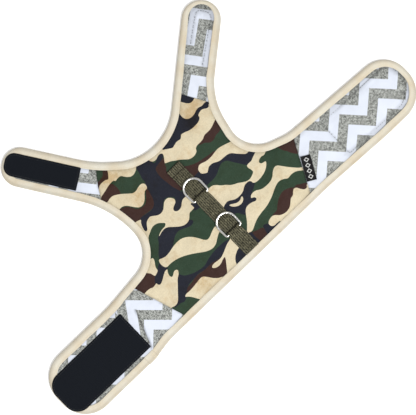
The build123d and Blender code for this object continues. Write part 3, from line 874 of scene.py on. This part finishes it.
def panels_of(points):
    """The zigzag panel that each point lies in, or an empty name in the camouflage."""
    x, y = points.T
    names = np.full(len(points), "", dtype=object)
    for chain, sign, panel in (
        (LEFT_SEAM, -1, "left_wing"),
        (RIGHT_SEAM, 1, "right_wing"),
        (LEFT_NECK_SEAM, -1, "left_neck"),
        (RIGHT_NECK_SEAM, 1, "right_neck"),
    ):
        ys, xs = zip(*sorted((seam_y, seam_x) for seam_x, seam_y in chain))
        beyond = (x - np.interp(y, ys, xs)) * sign > 0
        names[beyond & ((y <= WAIST_Y) == panel.endswith("wing"))] = panel
    return names


def puffed_heights():
    """How far the padding lifts the outer cloth: a cloth simulation, held down where the vest is sewn.

    Returns a function from points in the plane to heights.
    """
    verts, faces = triangulate([], PUFF_STEP, PUFF_CLEAR)
    held = distance_to_chain(verts, EDGE[::3], closed=True) < TAPE_WIDTH
    held |= (np.abs(verts[:, 0] - WEBBING_X) < WEBBING_HOLD) & (verts[:, 1] < 3)
    for chains, reach in ((LOOP_BOXES, LOOP_HOLD), (SEAM_CHAINS, SEAM_HOLD)):
        for chain in chains:
            held |= distance_to_chain(verts, chain) < reach
    held |= ((verts > GIRTH_HOOK_LOW) & (verts < GIRTH_HOOK_HIGH)).all(1)
    at, out = fold("left_neck_strap_fold")
    across = np.abs((verts - at) @ leftward(out))
    held |= ((verts - at) @ out > NECK_HOOK_FROM) & (across < NECK_HOOK_WIDTH / 2)
    start = 0.25 * waves(verts, 18, 3.1)
    start[held] = 0
    sheet = make_mesh("puff", np.column_stack((verts, start)), faces, CAMO)
    sheet.vertex_groups.new(name="sewn").add(np.nonzero(held)[0].tolist(), 1.0, "REPLACE")
    cloth = sheet.modifiers.new("cloth", "CLOTH")
    for key, value in PUFF_SETTINGS.items():
        setattr(cloth.settings, key, value)
    cloth.point_cache.frame_start, cloth.point_cache.frame_end = 1, 30
    scene = bpy.context.scene
    gravity = scene.gravity.copy()
    scene.gravity = PUFF_PUSH
    for frame_number in range(1, PUFF_FRAMES + 1):
        scene.frame_set(frame_number)
    moved = sheet.evaluated_get(bpy.context.evaluated_depsgraph_get()).to_mesh()
    lifted = np.zeros(len(moved.vertices) * 3)
    moved.vertices.foreach_get("co", lifted)
    scene.frame_set(1)
    scene.gravity = gravity
    bpy.data.objects.remove(sheet)
    height = PUFF_CAP * np.tanh(lifted[2::3] / MM / PUFF_CAP)
    tree = BVHTree.FromPolygons([Vector((x, y, z)) for (x, y), z in zip(verts, height)], faces.tolist())

    def at_points(points):
        hits = [tree.ray_cast(Vector((x, y, 50)), Vector((0, 0, -1)))[0] for x, y in points]
        return np.array([hit.z if hit else 0.0 for hit in hits])

    return at_points


lift = puffed_heights()


def edge_depth(points):
    """Distance in from the outline, good to a few tenths of a millimetre."""
    nearest = [EDGE_TREE.find((x, y, 0))[1] for x, y in points]
    return ((points - EDGE[nearest]) * EDGE_IN[nearest]).sum(1)


def shell_height(points):
    """The top of the outer cloth: padding, puckers along the tape and grooves along the seams."""
    depth = edge_depth(points)
    z = SHELL_TOP + lift(points)
    z += PUCKER * waves(points, PUCKER_SIZE, 0.7) * bell(depth - PUCKER_FROM_EDGE, PUCKER_REACH)
    z -= TAPE_GROOVE * bell(depth - TAPE_WIDTH, TAPE_GROOVE_REACH)
    for seam in SEAM_CHAINS:
        z -= SEAM_GROOVE * bell(distance_to_chain(points, seam), SEAM_GROOVE_REACH)
    for box in LOOP_BOXES:
        near = distance_to_chain(points, box)
        z -= LOOP_GROOVE * bell(near, LOOP_GROOVE_REACH)
        z += GATHER * waves(points, GATHER_SIZE, 8.8) * bell(near, GATHER_REACH)
    x, y = points.T
    beside = x - np.interp(y, PLEAT[::-1, 1], PLEAT[::-1, 0])
    z += np.where((beside < 0) & (y < -40), PLEAT_HEIGHT * bell(beside, PLEAT_REACH), 0)
    under_webbing = np.clip((WEBBING_HALF + 1.5 - np.abs(x - WEBBING_X)) / 3, 0, 1)
    under_webbing *= np.clip((WEBBING_TOP + 2 - y) / 3, 0, 1)
    z += (SHELL_TOP - 0.15 - z) * under_webbing
    for bar in RING_BARS:
        off_ring = np.maximum(np.abs(x - WEBBING_X) - RING_HALF, np.abs(y - bar) - RING_REACH)
        z += (np.minimum(z, SHELL_TOP + 0.1) - z) * np.clip(1 - off_ring / RING_BED_EASE, 0, 1)
    under_tape = np.clip((TAPE_WIDTH - 0.4 - depth) / 3, 0, 1)
    return z + (SHELL_TOP - 0.1 - z) * under_tape


def set_print(obj, face_inks):
    """Keeps each face's ink on its corners, for both sides of the sheet."""
    corner_inks = np.repeat(INKS[np.tile(face_inks, 2)], 3, axis=0)
    set_attribute(obj.data, "print", "FLOAT_COLOR", "CORNER", corner_inks)


def turned_about(points, centre, degrees):
    """Points turned about a centre, as seen from it."""
    c, s = math.cos(math.radians(degrees)), math.sin(math.radians(degrees))
    x, y = (points - np.array(centre)).T
    return np.column_stack((x * c - y * s, x * s + y * c))


def set_zigzag(obj, panel):
    """Keeps each corner's place in the zigzag print, in periods and bands."""
    origin, turn = ZIGZAGS[panel]
    mesh = obj.data
    flat = np.zeros(len(mesh.vertices) * 3, np.float32)
    mesh.attributes["flat"].data.foreach_get("vector", flat)
    corners = np.zeros(len(mesh.loops), np.int32)
    mesh.loops.foreach_get("vertex_index", corners)
    places = flat.reshape(-1, 3)[corners, :2].astype(float)
    if panel == "left_wing":
        centres = places.reshape(-1, 3, 2).mean(1)
        pleated = np.repeat(inside(centres, np.array(PLEAT_RIDGE + PLEAT_FAR, float)), 3)
        places[pleated] = turned_about(places[pleated], PLEAT_AT, -PLEAT_TURN) + np.array(PLEAT_AT)
    u, v = turned_about(places, origin, -turn).T
    place_in_print = np.column_stack((u / (2 * ZIGZAG_HALF), v / ZIGZAG_PITCH, np.zeros(len(u))))
    set_attribute(mesh, "zigzag", "FLOAT_VECTOR", "CORNER", place_in_print)


def set_painted_shade_and_soil(obj, points):
    """Keeps how shaded each point is by the tape, the seams, the loop boxes and the pleat ridge beside it, as
    painted shade, and how soiled it is.
    """
    depth = edge_depth(points)
    # painted shade along the tape's inner edge
    shade = 1 - 0.30 * np.exp(-np.clip(depth - TAPE_WIDTH, 0, None) / 1.4)
    # painted shade along the seams
    for chain in SEAM_CHAINS:
        shade *= 1 - 0.35 * bell(distance_to_chain(points, chain), 0.7)
    # painted shade along the loop pads' stitch lines
    for chain in LOOP_BOXES:
        near = distance_to_chain(points, chain)
        shade *= 1 - 0.3 * bell(near, 1.0)
        shade *= np.where((depth < 16.5) & (near < 5), 0.9, 1.0)  # painted shade between the box and the tape
    # painted shade along the pleat's ridge
    shade *= 1 - 0.55 * bell(distance_to_chain(points, PLEAT[1:3]), 1.1)
    soil = sum(bell(np.linalg.norm(points - (x, y), axis=1), reach) for x, y, reach in STAINS)
    for name, values in (("rim", shade), ("soil", soil)):
        set_attribute(obj.data, name, "FLOAT", "POINT", np.tile(values, 2))


# The outer cloth's pieces: cell and zigzag panel, then the piece's name and the CAD nodes that it replaces
SHELL_PIECES = {
    ("centre", ""): ("camo_back", "camo_panel", "torso_padding"),
    ("left_flank", ""): ("camo_left_flank", "camo_panel_left_flank", "left_wing_padding"),
    ("right_flank", ""): ("camo_right_flank", "camo_panel_right_flank"),
    ("left_neck", ""): ("camo_left_neck",),
    ("right_neck", ""): ("camo_right_neck",),
    ("left_flank", "left_wing"): ("zigzag_left_wing", "left_wing_panel"),
    ("left_end", "left_wing"): ("zigzag_left_wing_end", "left_wing_end_panel", "left_wing_end_padding"),
    ("right_flank", "right_wing"): ("zigzag_right_wing", "right_wing_panel", "right_wing_padding"),
    ("right_end", "right_wing"): ("zigzag_right_wing_end", "right_wing_end_panel", "right_wing_end_padding"),
    ("left_neck", "left_neck"): ("zigzag_left_neck", "left_neck_panel", "left_neck_padding"),
    ("right_neck", "right_neck"): ("zigzag_right_neck", "right_neck_panel", "right_neck_padding"),
}
SHELL_STEP, SHELL_CLEAR = 2.6, 1.1  # spacing of the cloth's points, and how clear of a chain they stay
LINING_STEP, LINING_CLEAR = 5.0, 2.0
SEAM_STEP = 2.0


def build_shell():
    """The outer cloth, cut into pieces at the seams and between the cells."""
    blobs = [(ink, curve_through(blob)) for ink, group in ((1, BROWN), (2, NAVY), (3, TAN)) for blob in group]
    chains = [(even(seam, SEAM_STEP), False) for seam in SEAM_CHAINS]
    chains += [(line, False) for line in cut_lines()]
    chains += [(blob, True) for _, blob in blobs]
    chains += [(even(line, SEAM_STEP), False) for line in (PLEAT_RIDGE, PLEAT_FAR)]
    verts, faces = triangulate(chains, SHELL_STEP, SHELL_CLEAR)
    centres = verts[faces].mean(1)
    inks = np.zeros(len(faces), int)
    for ink, blob in blobs:
        inks[inside(centres, blob)] = ink
    cells, panels = cell_of(centres), panels_of(centres)
    whole = np.column_stack((verts, shell_height(verts)))
    normals = point_normals(whole, faces)
    for (cell, panel), (name, *nodes) in SHELL_PIECES.items():
        chosen = (cells == cell) & (panels == panel)
        obj, points = sheet_piece(name, whole, faces, chosen, normals, SHELL, ZIGZAG if panel else CAMO)
        set_painted_shade_and_soil(obj, points)
        if panel:
            set_zigzag(obj, panel)
        else:
            set_print(obj, inks[chosen])
        place(obj, "zigzag_cloth" if panel else "camo_cloth", cell, *nodes)


# ---------------------------------------------------------------- lining

LINING_NODES = {
    "centre": "torso_lining",
    "left_flank": "left_wing_lining",
    "right_flank": "right_wing_lining",
    "left_end": "left_wing_end_lining",
    "right_end": "right_wing_end_lining",
    "left_neck": "left_neck_lining",
    "right_neck": "right_neck_lining",
}


def build_lining():
    """The lining on the underside. It sags a little between its sewn edges, down to the surface."""
    verts, faces = triangulate([(line, False) for line in cut_lines()], LINING_STEP, LINING_CLEAR)
    cells = cell_of(verts[faces].mean(1))
    sag = smooth((edge_depth(verts) - TAPE_WIDTH) / 14.0)
    underside = LINING_BOTTOM - (0.55 + 0.25 * waves(verts, 11.0, 5.3)) * sag
    whole = np.column_stack((verts, underside + LINING))
    normals = point_normals(whole, faces)
    for cell, node in LINING_NODES.items():
        obj, points = sheet_piece(f"lining_{cell}", whole, faces, cells == cell, normals, LINING, ZIGZAG)
        set_zigzag(obj, "lining")
        set_painted_shade_and_soil(obj, points)
        place(obj, "lining_cloth", cell, node)


# ---------------------------------------------------------------- stitches

STITCH, STITCH_GAP = 2.3, 0.7
THREAD = 0.27  # radius
STITCH_SIDES = 6
# A stitch from end to end: share of its length, height, share of the thread's radius
STITCH_SHAPE = (
    (0.0, -0.12, 0.5), (0.18, 0.10, 0.95), (0.5, 0.16, 1.0), (0.82, 0.10, 0.95), (1.0, -0.12, 0.5),
)
UNDER_MIDDLE, UNDER_END = 0.22, 0.34  # heights of an underside stitch


def stitch_row(name, line, tops, material, cell, slot="thread", both_sides=False, size=1.0):
    """Stitches along a line in the plane: each a short thread that dips into the cloth at its ends."""
    line = np.asarray(line, float)
    along = along_chain(line)
    turns = [k * 2 * math.pi / STITCH_SIDES for k in range(STITCH_SIDES)]
    points, faces = [], []
    for underside in (False, True) if both_sides else (False,):
        for first in np.arange(STITCH_GAP / 2, along[-1] - STITCH, STITCH + STITCH_GAP):
            start, end = (
                np.array([np.interp(at, along, line[:, axis]) for axis in (0, 1)])
                for at in (first, first + STITCH)
            )
            side = leftward((end - start) / np.linalg.norm(end - start))
            rings, base = len(STITCH_SHAPE), len(points)
            for t, rise, girth in STITCH_SHAPE:
                z = np.interp(first + STITCH * t, along, tops) + rise
                if underside:
                    z = UNDER_END if t in (0.0, 1.0) else UNDER_MIDDLE
                radius = THREAD * girth * size
                for turn in turns:
                    spot = start + (end - start) * t + side * math.cos(turn) * radius
                    points.append((*spot, z + math.sin(turn) * radius * 0.8))
            faces += tube_faces(rings, STITCH_SIDES, base) + end_faces(rings, STITCH_SIDES, base)
    place(make_mesh(name, points, faces, material), slot, cell)


def build_loop_stitches():
    """The loop pads' stitches as they come through to the outside."""
    for name, chain, cell in (
        ("girth_loop_stitches", GIRTH_LOOP + GIRTH_LOOP[:1], "right_end"),
        ("neck_loop_stitches", LOOP_BOXES[1], "right_neck"),
    ):
        line = even(chain, 1.5)
        stitch_row(name, line, shell_height(line) + 0.05, GREY_STITCH, cell)


# ---------------------------------------------------------------- edge tape

# Section of the folded tape: distance in from the outline, and height
TAPE_SECTION = [
    (9.1, 3.75), (9.15, 4.25), (8.5, 4.5), (7.6, 4.42), (6.0, 4.72), (3.5, TAPE_TOP), (1.7, 4.62), (0.6, 4.1),
    (0.05, 3.1), (0.0, 2.2), (0.15, 1.2), (0.8, 0.4), (2.0, 0.05), (5.0, 0.0), (8.2, 0.0), (9.1, 0.25),
    (9.15, 0.9), (7.0, 1.15), (3.0, 1.2), (1.5, 1.9), (1.5, 3.0), (3.0, 3.6), (7.0, 3.65),
]
TAPE_NODES = {
    "centre": (
        "neck_edge_binding", "left_armhole_binding", "right_armhole_binding", "hem_binding",
        "torso_fold_beads",
    ),
    "left_neck": ("left_neck_binding",),
    "right_neck": ("right_neck_binding",),
    "left_flank": ("left_wing_binding",),
    "right_flank": ("right_wing_binding",),
    "left_end": ("left_wing_end_binding", "left_wing_fold_bead"),
    "right_end": ("right_wing_end_binding", "right_wing_fold_bead"),
}
STITCH_IN = 7.9  # the stitch line's distance in from the outline
STITCH_TOP = 4.42  # the tape's top there
TAPE_JOINT_AT = (-155, -143)
TAPE_JOINT_GROW = 0.6  # how much the upper end stands out
TAPE_JOINT_ROWS = (0.9, 2.6)  # the rows of stitches across it, back from its end


def edge_runs():
    """The stretches of the outline that lie in one cell.

    Each is a list of outline point numbers, and neighbours share their ends.
    """
    names = cell_of(EDGE)
    count = len(EDGE)
    start = next(k for k in range(count) if names[k] != names[k - 1])
    runs = []
    for k in (np.arange(count) + start) % count:
        if k == start or names[k] != names[k - 1]:
            runs.append((names[k], []))
        runs[-1][1].append(k)
    for _, run in runs:
        run.append((run[-1] + 1) % count)
    return runs


def tape_wobble(k):
    """How much wider than usual the tape is at an outline point, and how much its top swells."""
    spot = EDGE[k:k + 1]
    width = 0.4 * waves(spot, 16, 9.2)[0]
    for x, y, share, reach in TAPE_SPOTS:
        width += (share - 1) * TAPE_WIDTH * bell(np.linalg.norm(spot[0] - (x, y)), reach)
    return width, 0.2 * waves(spot, 6, 4.4)[0] + 0.2 * waves(spot, 2.2, 6.1)[0]


def tape_piece(name, run, cell, nodes=(), grow=0.0, ends=False):
    """A stretch of the folded tape, over a run of outline points.

    Its first and last rings only help the shading.
    """
    points, flats = [], []
    for k in run:
        width, swell = tape_wobble(k)
        for depth, z in TAPE_SECTION:
            d = depth + width * np.clip(depth / TAPE_WIDTH, 0, 1) + grow * (depth / TAPE_WIDTH * 1.6 - 0.8)
            top = (swell + grow) * np.clip((z - SHELL_TOP) / 0.8, 0, 1)
            points.append((*(EDGE[k] + EDGE_IN[k] * d), z + top))
            flats.append((k * EDGE_STEP, depth - z, 0))
    size = len(TAPE_SECTION)
    kept = slice(size, -size)
    points = np.array(points)
    faces = np.roll(np.array(tube_faces(len(run), size))[:, ::-1], 1, axis=1)
    shown = (faces[kept] - size).tolist()
    if ends:
        shown += [face[::-1] for face in end_faces(len(run) - 2, size)]
    obj = make_mesh(name, points[kept], shown, TAPE, flat=flats[kept])
    if not ends:
        use_normals(obj, point_normals(points, faces)[kept])
    place(obj, "edge_tape", cell, *nodes)


def build_tape():
    """The folded tape round the whole outline, with its row of stitches."""
    seen = {}
    count = len(EDGE)
    for cell, run in edge_runs():
        number = seen[cell] = seen.get(cell, 0) + 1
        nodes = TAPE_NODES[cell] if number == 1 else ()
        longer = [(run[0] - 1) % count] + run + [(run[-1] + 1) % count]
        tape_piece(f"edge_tape_{cell}_{number}", longer, cell, nodes)
        wobbles = [tape_wobble(k) for k in run]
        line = [EDGE[k] + EDGE_IN[k] * (STITCH_IN + width) for k, (width, _) in zip(run, wobbles)]
        tops = [STITCH_TOP + swell for _, swell in wobbles]
        name = f"tape_stitches_{cell}_{number}"
        stitch_row(name, line, tops, CREAM_THREAD, cell, "edge_tape", both_sides=True)


def build_tape_joint():
    """Where the tape's two ends meet: one lies over the other, turned in and sewn across."""
    joint = int(np.argmin(np.linalg.norm(EDGE - np.array(TAPE_JOINT_AT), axis=1)))
    tape_piece("edge_tape_joint", range(joint - 10, joint + 2), "left_end", grow=TAPE_JOINT_GROW, ends=True)
    k = joint - 1
    for number, back in enumerate(TAPE_JOINT_ROWS):
        start = EDGE[k] - EDGE_ALONG[k] * back + EDGE_IN[k] * 0.8
        line = [start, start + EDGE_IN[k] * 7.4]
        name = f"edge_tape_joint_stitches_{number}"
        stitch_row(name, line, [5.2, 5.3], CREAM_THREAD, "left_end", "edge_tape")


# ---------------------------------------------------------------- webbing and rings

TUNNEL_RISE, TUNNEL_REACH, TUNNEL_SQUARE = 3.45, 3.1, 3.2  # how a ring's bar lifts the webbing
PINCH, PINCH_REACH = 0.85, 4.2  # how a ring narrows it
RIB, PICK = 0.28, 0.05  # heights
SELVAGE, SELVAGE_DROP = 0.07, 0.35  # share of the half width that rounds down, and by how much
TACK_REACH = 7.0  # from a ring's bar to the rows of thread on each side of it
STATIONS, TURNED_STATIONS = 190, 24
TURNED_LENGTH, TURNED_THICKNESS = 9.0, 1.1


def strip(name, ys, bottom, thickness, half):
    """A closed ribbed band along y, from its stations' y, bottom height and half width."""
    across = np.linspace(-1, 1, WEBBING_RIBS * 6 + 1)
    points, flats = [], []
    for y, low, wide in zip(ys, bottom, half):
        for upper, row in ((True, across), (False, across[::-1])):
            for s in row:
                selvage = max(0.0, abs(s) - 1 + SELVAGE) / SELVAGE * SELVAGE_DROP
                rib = abs(math.sin((s + 1) / 2 * math.pi * WEBBING_RIBS))
                z = low + selvage
                if upper:
                    z = low + thickness * (1 - selvage) + rib * (RIB + PICK * math.cos(y * math.pi))
                points.append((WEBBING_X + s * wide, y, z))
                flats.append((s * WEBBING_HALF + WEBBING_HALF, y, 0))
    rings, size = len(ys), 2 * len(across)
    faces = tube_faces(rings, size) + end_faces(rings, size)
    return make_mesh(name, points, faces, WEBBING_CLOTH, flat=flats)


def build_webbing():
    """The spine webbing with its tunnels, its turned-in end and the thread that holds it."""
    ys = np.linspace(WEBBING_BOTTOM, WEBBING_TOP, STATIONS)
    rise = sum(TUNNEL_RISE * np.exp(-np.abs((ys - bar) / TUNNEL_REACH) ** TUNNEL_SQUARE) for bar in RING_BARS)
    half = WEBBING_HALF - sum(PINCH * bell(ys - bar, PINCH_REACH) for bar in RING_BARS)
    under_hem = np.clip((WEBBING_BOTTOM + 4 - ys) / 4, 0, 1)
    webbing = strip("leash_webbing_top", ys, SHELL_TOP - 0.1 + rise - 0.9 * under_hem, WEBBING, half)
    place(webbing, "webbing", "centre", "leash_webbing", "webbing_tacks")
    ys = np.linspace(WEBBING_TOP - TURNED_LENGTH, WEBBING_TOP + 0.3, TURNED_STATIONS)
    tuck = np.clip((ys - (WEBBING_TOP - 1.2)) / 1.5, 0, 1) ** 2
    top = SHELL_TOP + WEBBING
    half = np.full(TURNED_STATIONS, WEBBING_HALF + 0.1)
    turned = strip("leash_webbing_turned_end", ys, top + 0.05 - 1.0 * tuck, TURNED_THICKNESS, half)
    place(turned, "webbing", "centre")
    rows = [(WEBBING_TOP - back, top + 1.2) for back in (2.4, 6.8)]
    rows += [(bar + side * TACK_REACH, top + 0.15) for bar in RING_BARS for side in (-1, 1)]
    for number, (y, z) in enumerate(rows):
        line = [(WEBBING_X + side * (WEBBING_HALF - 1.2), y) for side in (-1, 1)]
        stitch_row(f"webbing_stitches_{number}", line, [z, z], OLIVE_THREAD, "centre", size=1.5)
    front, rear = RING_BARS
    for name, side in (("left", -1), ("right", 1)):
        x = WEBBING_X + side * (WEBBING_HALF - 1.5)
        spans = (
            (front + TACK_REACH, WEBBING_TOP - TACK_REACH), (rear + TACK_REACH, front - TACK_REACH),
            (WEBBING_BOTTOM + 2.5, rear - TACK_REACH),
        )
        for number, span in enumerate(spans):
            line, tops = [(x, y) for y in span], [top + 0.1] * 2
            stitch_row(f"webbing_side_stitches_{name}_{number}", line, tops, OLIVE_THREAD, "centre")


def finish_rings():
    """The rings are the CAD's own, in nickel."""
    for node in ("front_d_ring", "rear_d_ring"):
        materials = frame["nodes"][node].data.materials
        materials.clear()
        materials.append(NICKEL)


# ---------------------------------------------------------------- hook and loop pads

HOOK_THICKNESS, LOOP_THICKNESS = 1.55, 1.25
PAD_STEP = 2.4  # spacing of a pad's inner points
BORDER_STEP = 1.5
SQUARE = 0.6  # radius of a pad's square corners
RIM_SHARE = 0.35  # a pad's thickness at its border, as a share of the whole


def pad_mesh(name, border, bottom_of, thickness, material):
    """A closed pad over a border, with its top rounded down at the rim."""
    centre = border.mean(0)
    inward = (centre - border) / np.linalg.norm(centre - border, axis=1)[:, None]
    points = [tuple(p) for reach in (0, 0.35, 1.0) for p in border + inward * reach]
    count = len(border)
    tree = tree_of(points)
    low, high = border.min(0), border.max(0)
    for x in np.arange(low[0], high[0], PAD_STEP):
        for y in np.arange(low[1], high[1], PAD_STEP):
            if tree.find((x, y, 0))[2] > PAD_STEP / 2:
                points.append((x, y))
    verts, faces, _ = flat_triangles(points, [(k, (k + 1) % count) for k in range(count)], border)
    verts, faces, _ = sub_mesh(verts, faces)
    shoulder = np.clip(distance_to_chain(verts, border, closed=True), 0, 1)
    shoulder = np.sqrt(1 - (1 - shoulder) ** 2)
    low_z = bottom_of(verts)
    top_z = low_z + thickness * (RIM_SHARE + (1 - RIM_SHARE) * shoulder)
    size = len(verts)
    sides = [side for a, b, c in faces.tolist() for side in ((a, b), (b, c), (c, a))]
    inner = set(sides)
    walls = [(a, a + size, b + size, b) for a, b in sides if (b, a) not in inner]
    both = np.vstack((np.column_stack((verts, top_z)), np.column_stack((verts, low_z))))
    return make_mesh(name, both, faces.tolist() + (faces[:, ::-1] + size).tolist() + walls, material)


def box_border(low, high, left_radius, right_radius):
    """The border of a pad along a wing."""
    (x0, y0), (x1, y1) = low, high
    corners = [(x0, y0, left_radius), (x1, y0, right_radius), (x1, y1, right_radius), (x0, y1, left_radius)]
    return rounded(corners, BORDER_STEP)


def strap_border(fold_name, start, end, width, radius, shift=0.0):
    """The border of a pad along a neck strap."""
    at, out = fold(fold_name)
    half = width / 2
    corners = [(start, -half, SQUARE), (end, -half, radius), (end, half, radius), (start, half, SQUARE)]
    return rounded([(*(at + out * a + leftward(out) * (b + shift)), r) for a, b, r in corners], 1.2)


def over_tape(points):
    """The height of what a pad on the outside rests on: the outer cloth, or the tape near the edge."""
    on_tape = smooth((TAPE_WIDTH + 1.5 - edge_depth(points)) / 3.0)
    return SHELL_TOP - 0.05 + (TAPE_TOP - SHELL_TOP - 0.1) * on_tape


def build_pads():
    """The hook pads with their stitches on the outside, and the loop pads on the underside."""
    girth_hook = box_border(GIRTH_HOOK_LOW, GIRTH_HOOK_HIGH, 17, SQUARE)
    neck_hook = strap_border(
        "left_neck_strap_fold", NECK_HOOK_FROM, NECK_HOOK_TO, NECK_HOOK_WIDTH, 11, shift=0.9
    )
    for name, border, cell, node in (
        ("girth_hook_tape", girth_hook, "left_end", "girth_hook_pad"),
        ("neck_hook_tape", neck_hook, "left_neck", "neck_hook_pad"),
    ):
        place(pad_mesh(name, border, over_tape, HOOK_THICKNESS, HOOK), "hook_tape", cell, node)
        line = border + leftward(directions(border)) * 2.2
        line = np.vstack((line, line[:1]))
        stitch_row(f"{name}_stitches", line, over_tape(line) + 1.5, BLACK_THREAD, cell)
    low, high = (np.array(corner[:2]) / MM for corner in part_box("girth_loop_pad"))
    girth_loop = box_border(low, high, SQUARE, 14)
    neck_loop = strap_border("right_neck_strap_fold", 16, 99, 25.5, 10)
    for name, border, cell, node in (
        ("girth_loop_tape", girth_loop, "right_end", "girth_loop_pad"),
        ("neck_loop_tape", neck_loop, "right_neck", "neck_loop_pad"),
    ):
        pad = pad_mesh(name, border, lambda points: np.zeros(len(points)), LOOP_THICKNESS, LOOP)
        place(pad, "loop_tape", cell, node)


# ---------------------------------------------------------------- label

LABEL_LENGTH, LABEL_WIDTH, LABEL_TURN = 29.5, 11.5, math.radians(61)
LABEL_THICKNESS, LABEL_LIFT = 0.35, 0.9
LABEL_ROWS, LABEL_COLUMNS = 36, 16
DIAMONDS = 4
# A diamond's outer and inner border: half length and half width, as shares of the label's
DIAMOND_OUTER, DIAMOND_INNER = (0.095, 0.27), (0.058, 0.165)


def build_label():
    """A folded woven label sewn in by one long side, its free side lifted, with a row of plain diamonds."""
    low, high = (np.array(v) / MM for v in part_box("woven_label"))
    centre = ((low + high) / 2)[:2]
    along = np.array((math.cos(LABEL_TURN), math.sin(LABEL_TURN)))
    across = -leftward(along)
    reach_s, reach_t = along * LABEL_LENGTH, across * LABEL_WIDTH
    corners = np.array([centre + reach_s * a + reach_t * b for a in (-0.5, 0.5) for b in (-0.5, 0.5)])
    base = float(shell_height(corners).max()) + LABEL_LIFT

    def surface(s, t, up=0.0):
        """A point of the label, s along it and t across it."""
        curl = 0.7 * t ** 2 + 0.2 * math.sin(s * math.pi * 1.3) * t
        return (*(centre + reach_s * (s - 0.5) + reach_t * (t - 0.5)), base + curl + up)

    grid = [
        (i / LABEL_ROWS, j / LABEL_COLUMNS) for i in range(LABEL_ROWS + 1) for j in range(LABEL_COLUMNS + 1)
    ]
    points = [surface(s, t, up) for up in (0.0, -LABEL_THICKNESS) for s, t in grid]
    flats = [(s * LABEL_LENGTH, t * LABEL_WIDTH, layer) for layer in (0, 1) for s, t in grid]
    size, wide = len(grid), LABEL_COLUMNS + 1
    faces = []
    for a in (i * wide + j for i in range(LABEL_ROWS) for j in range(LABEL_COLUMNS)):
        quad = (a, a + 1, a + wide + 1, a + wide)
        faces += [quad[::-1], tuple(q + size for q in quad)]
    last_row = LABEL_ROWS * wide
    rim = [*range(0, size, wide), *range(last_row + 1, size)]
    rim += [*range(last_row - 1, 0, -wide), *range(wide - 2, 0, -1)]
    faces += [(a, b, b + size, a + size) for a, b in zip(rim, rim[1:] + rim[:1])]
    ground = make_mesh("woven_label_ground", points, faces, LABEL, flat=flats)
    place(ground, "label_tape", "right_flank", "woven_label")
    points, faces = [], []
    for k in range(DIAMONDS):
        base_point, middle = len(points), (k + 0.75) / (DIAMONDS + 0.5)
        for (half_s, half_t), up in (
            (DIAMOND_OUTER, 0.05), (DIAMOND_OUTER, 0.22), (DIAMOND_INNER, 0.22), (DIAMOND_INNER, 0.05),
        ):
            for ds, dt in ((1, 0), (0, 1), (-1, 0), (0, -1)):
                points.append(surface(middle + ds * half_s, 0.5 + dt * half_t, up))
        faces += [(b, a, d, c) for a, b, c, d in tube_faces(4, 4, base_point)]
    diamonds = make_mesh("woven_label_diamonds", points, faces, LABEL_THREAD, smoothed=False)
    place(diamonds, "label_tape", "right_flank")


# ---------------------------------------------------------------- floor, light and camera

VIEW_CENTRE = (1.7, -60.6)  # the point that the camera is straight above
VIEW_WIDTH = 474.2  # what the picture takes in, left to right
VIEW_TURN = 44.0  # degrees that the vest is turned anticlockwise in the picture
LENS, SENSOR = 85.0, 36.0
FLOOR_HALF, FLOOR_Z = 3.0, -0.0006  # metres, as are the lights' places and sizes
FLOOR_GLOW, WORLD_GLOW = 0.16, 0.48


def add_object(name, data):
    obj = bpy.data.objects.new(name, data)
    bpy.context.scene.collection.objects.link(obj)
    return obj


def build_camera():
    data = bpy.data.cameras.new("camera")
    data.lens, data.sensor_width = LENS, SENSOR
    camera = add_object("camera", data)
    distance = VIEW_WIDTH * LENS / SENSOR
    camera.location = (VIEW_CENTRE[0] * MM, VIEW_CENTRE[1] * MM, (distance + SHELL_TOP) * MM)
    camera.rotation_euler = (0, 0, -math.radians(VIEW_TURN))
    bpy.context.scene.camera = camera


def build_stage():
    """A plain white floor. A little light of its own keeps it as pale as the photo's ground."""
    mesh = bpy.data.meshes.new("floor")
    corners = [(x * FLOOR_HALF, y * FLOOR_HALF, 0) for x, y in ((-1, -1), (1, -1), (1, 1), (-1, 1))]
    mesh.from_pydata(corners, [], [(0, 1, 2, 3)])
    floor = add_object("floor", mesh)
    floor.location.z = FLOOR_Z
    n = Nodes("white_floor")
    n.shader.inputs["Roughness"].default_value = 0.9
    n.shader.inputs["Emission Color"].default_value = (1, 1, 1, 1)
    n.shader.inputs["Emission Strength"].default_value = FLOOR_GLOW
    mesh.materials.append(n.done((0.92, 0.92, 0.92)))


def area_light(name, at, size, power):
    """A round soft light that points at the middle of the vest."""
    light = bpy.data.lights.new(name, "AREA")
    light.shape, light.size, light.energy = "DISK", size, power
    obj = add_object(name, light)
    obj.location = at
    obj.rotation_euler = (-Vector(at)).to_track_quat("-Z", "Y").to_euler()


def build_light():
    world = bpy.data.worlds.new("soft_white")
    world.use_nodes = True
    background = world.node_tree.nodes["Background"]
    background.inputs["Color"].default_value = (1.0, 1.0, 1.0, 1)
    background.inputs["Strength"].default_value = WORLD_GLOW
    bpy.context.scene.world = world
    area_light("key", (0.1, -0.95, 1.75), 0.6, 30.0)
    area_light("fill", (-0.5, 0.6, 1.8), 1.4, 4.0)
    bpy.context.scene.view_settings.view_transform = "Standard"


build_camera()
build_stage()
build_light()
build_shell()
build_lining()
build_tape()
build_tape_joint()
build_webbing()
finish_rings()
build_pads()
build_loop_stitches()
build_label()
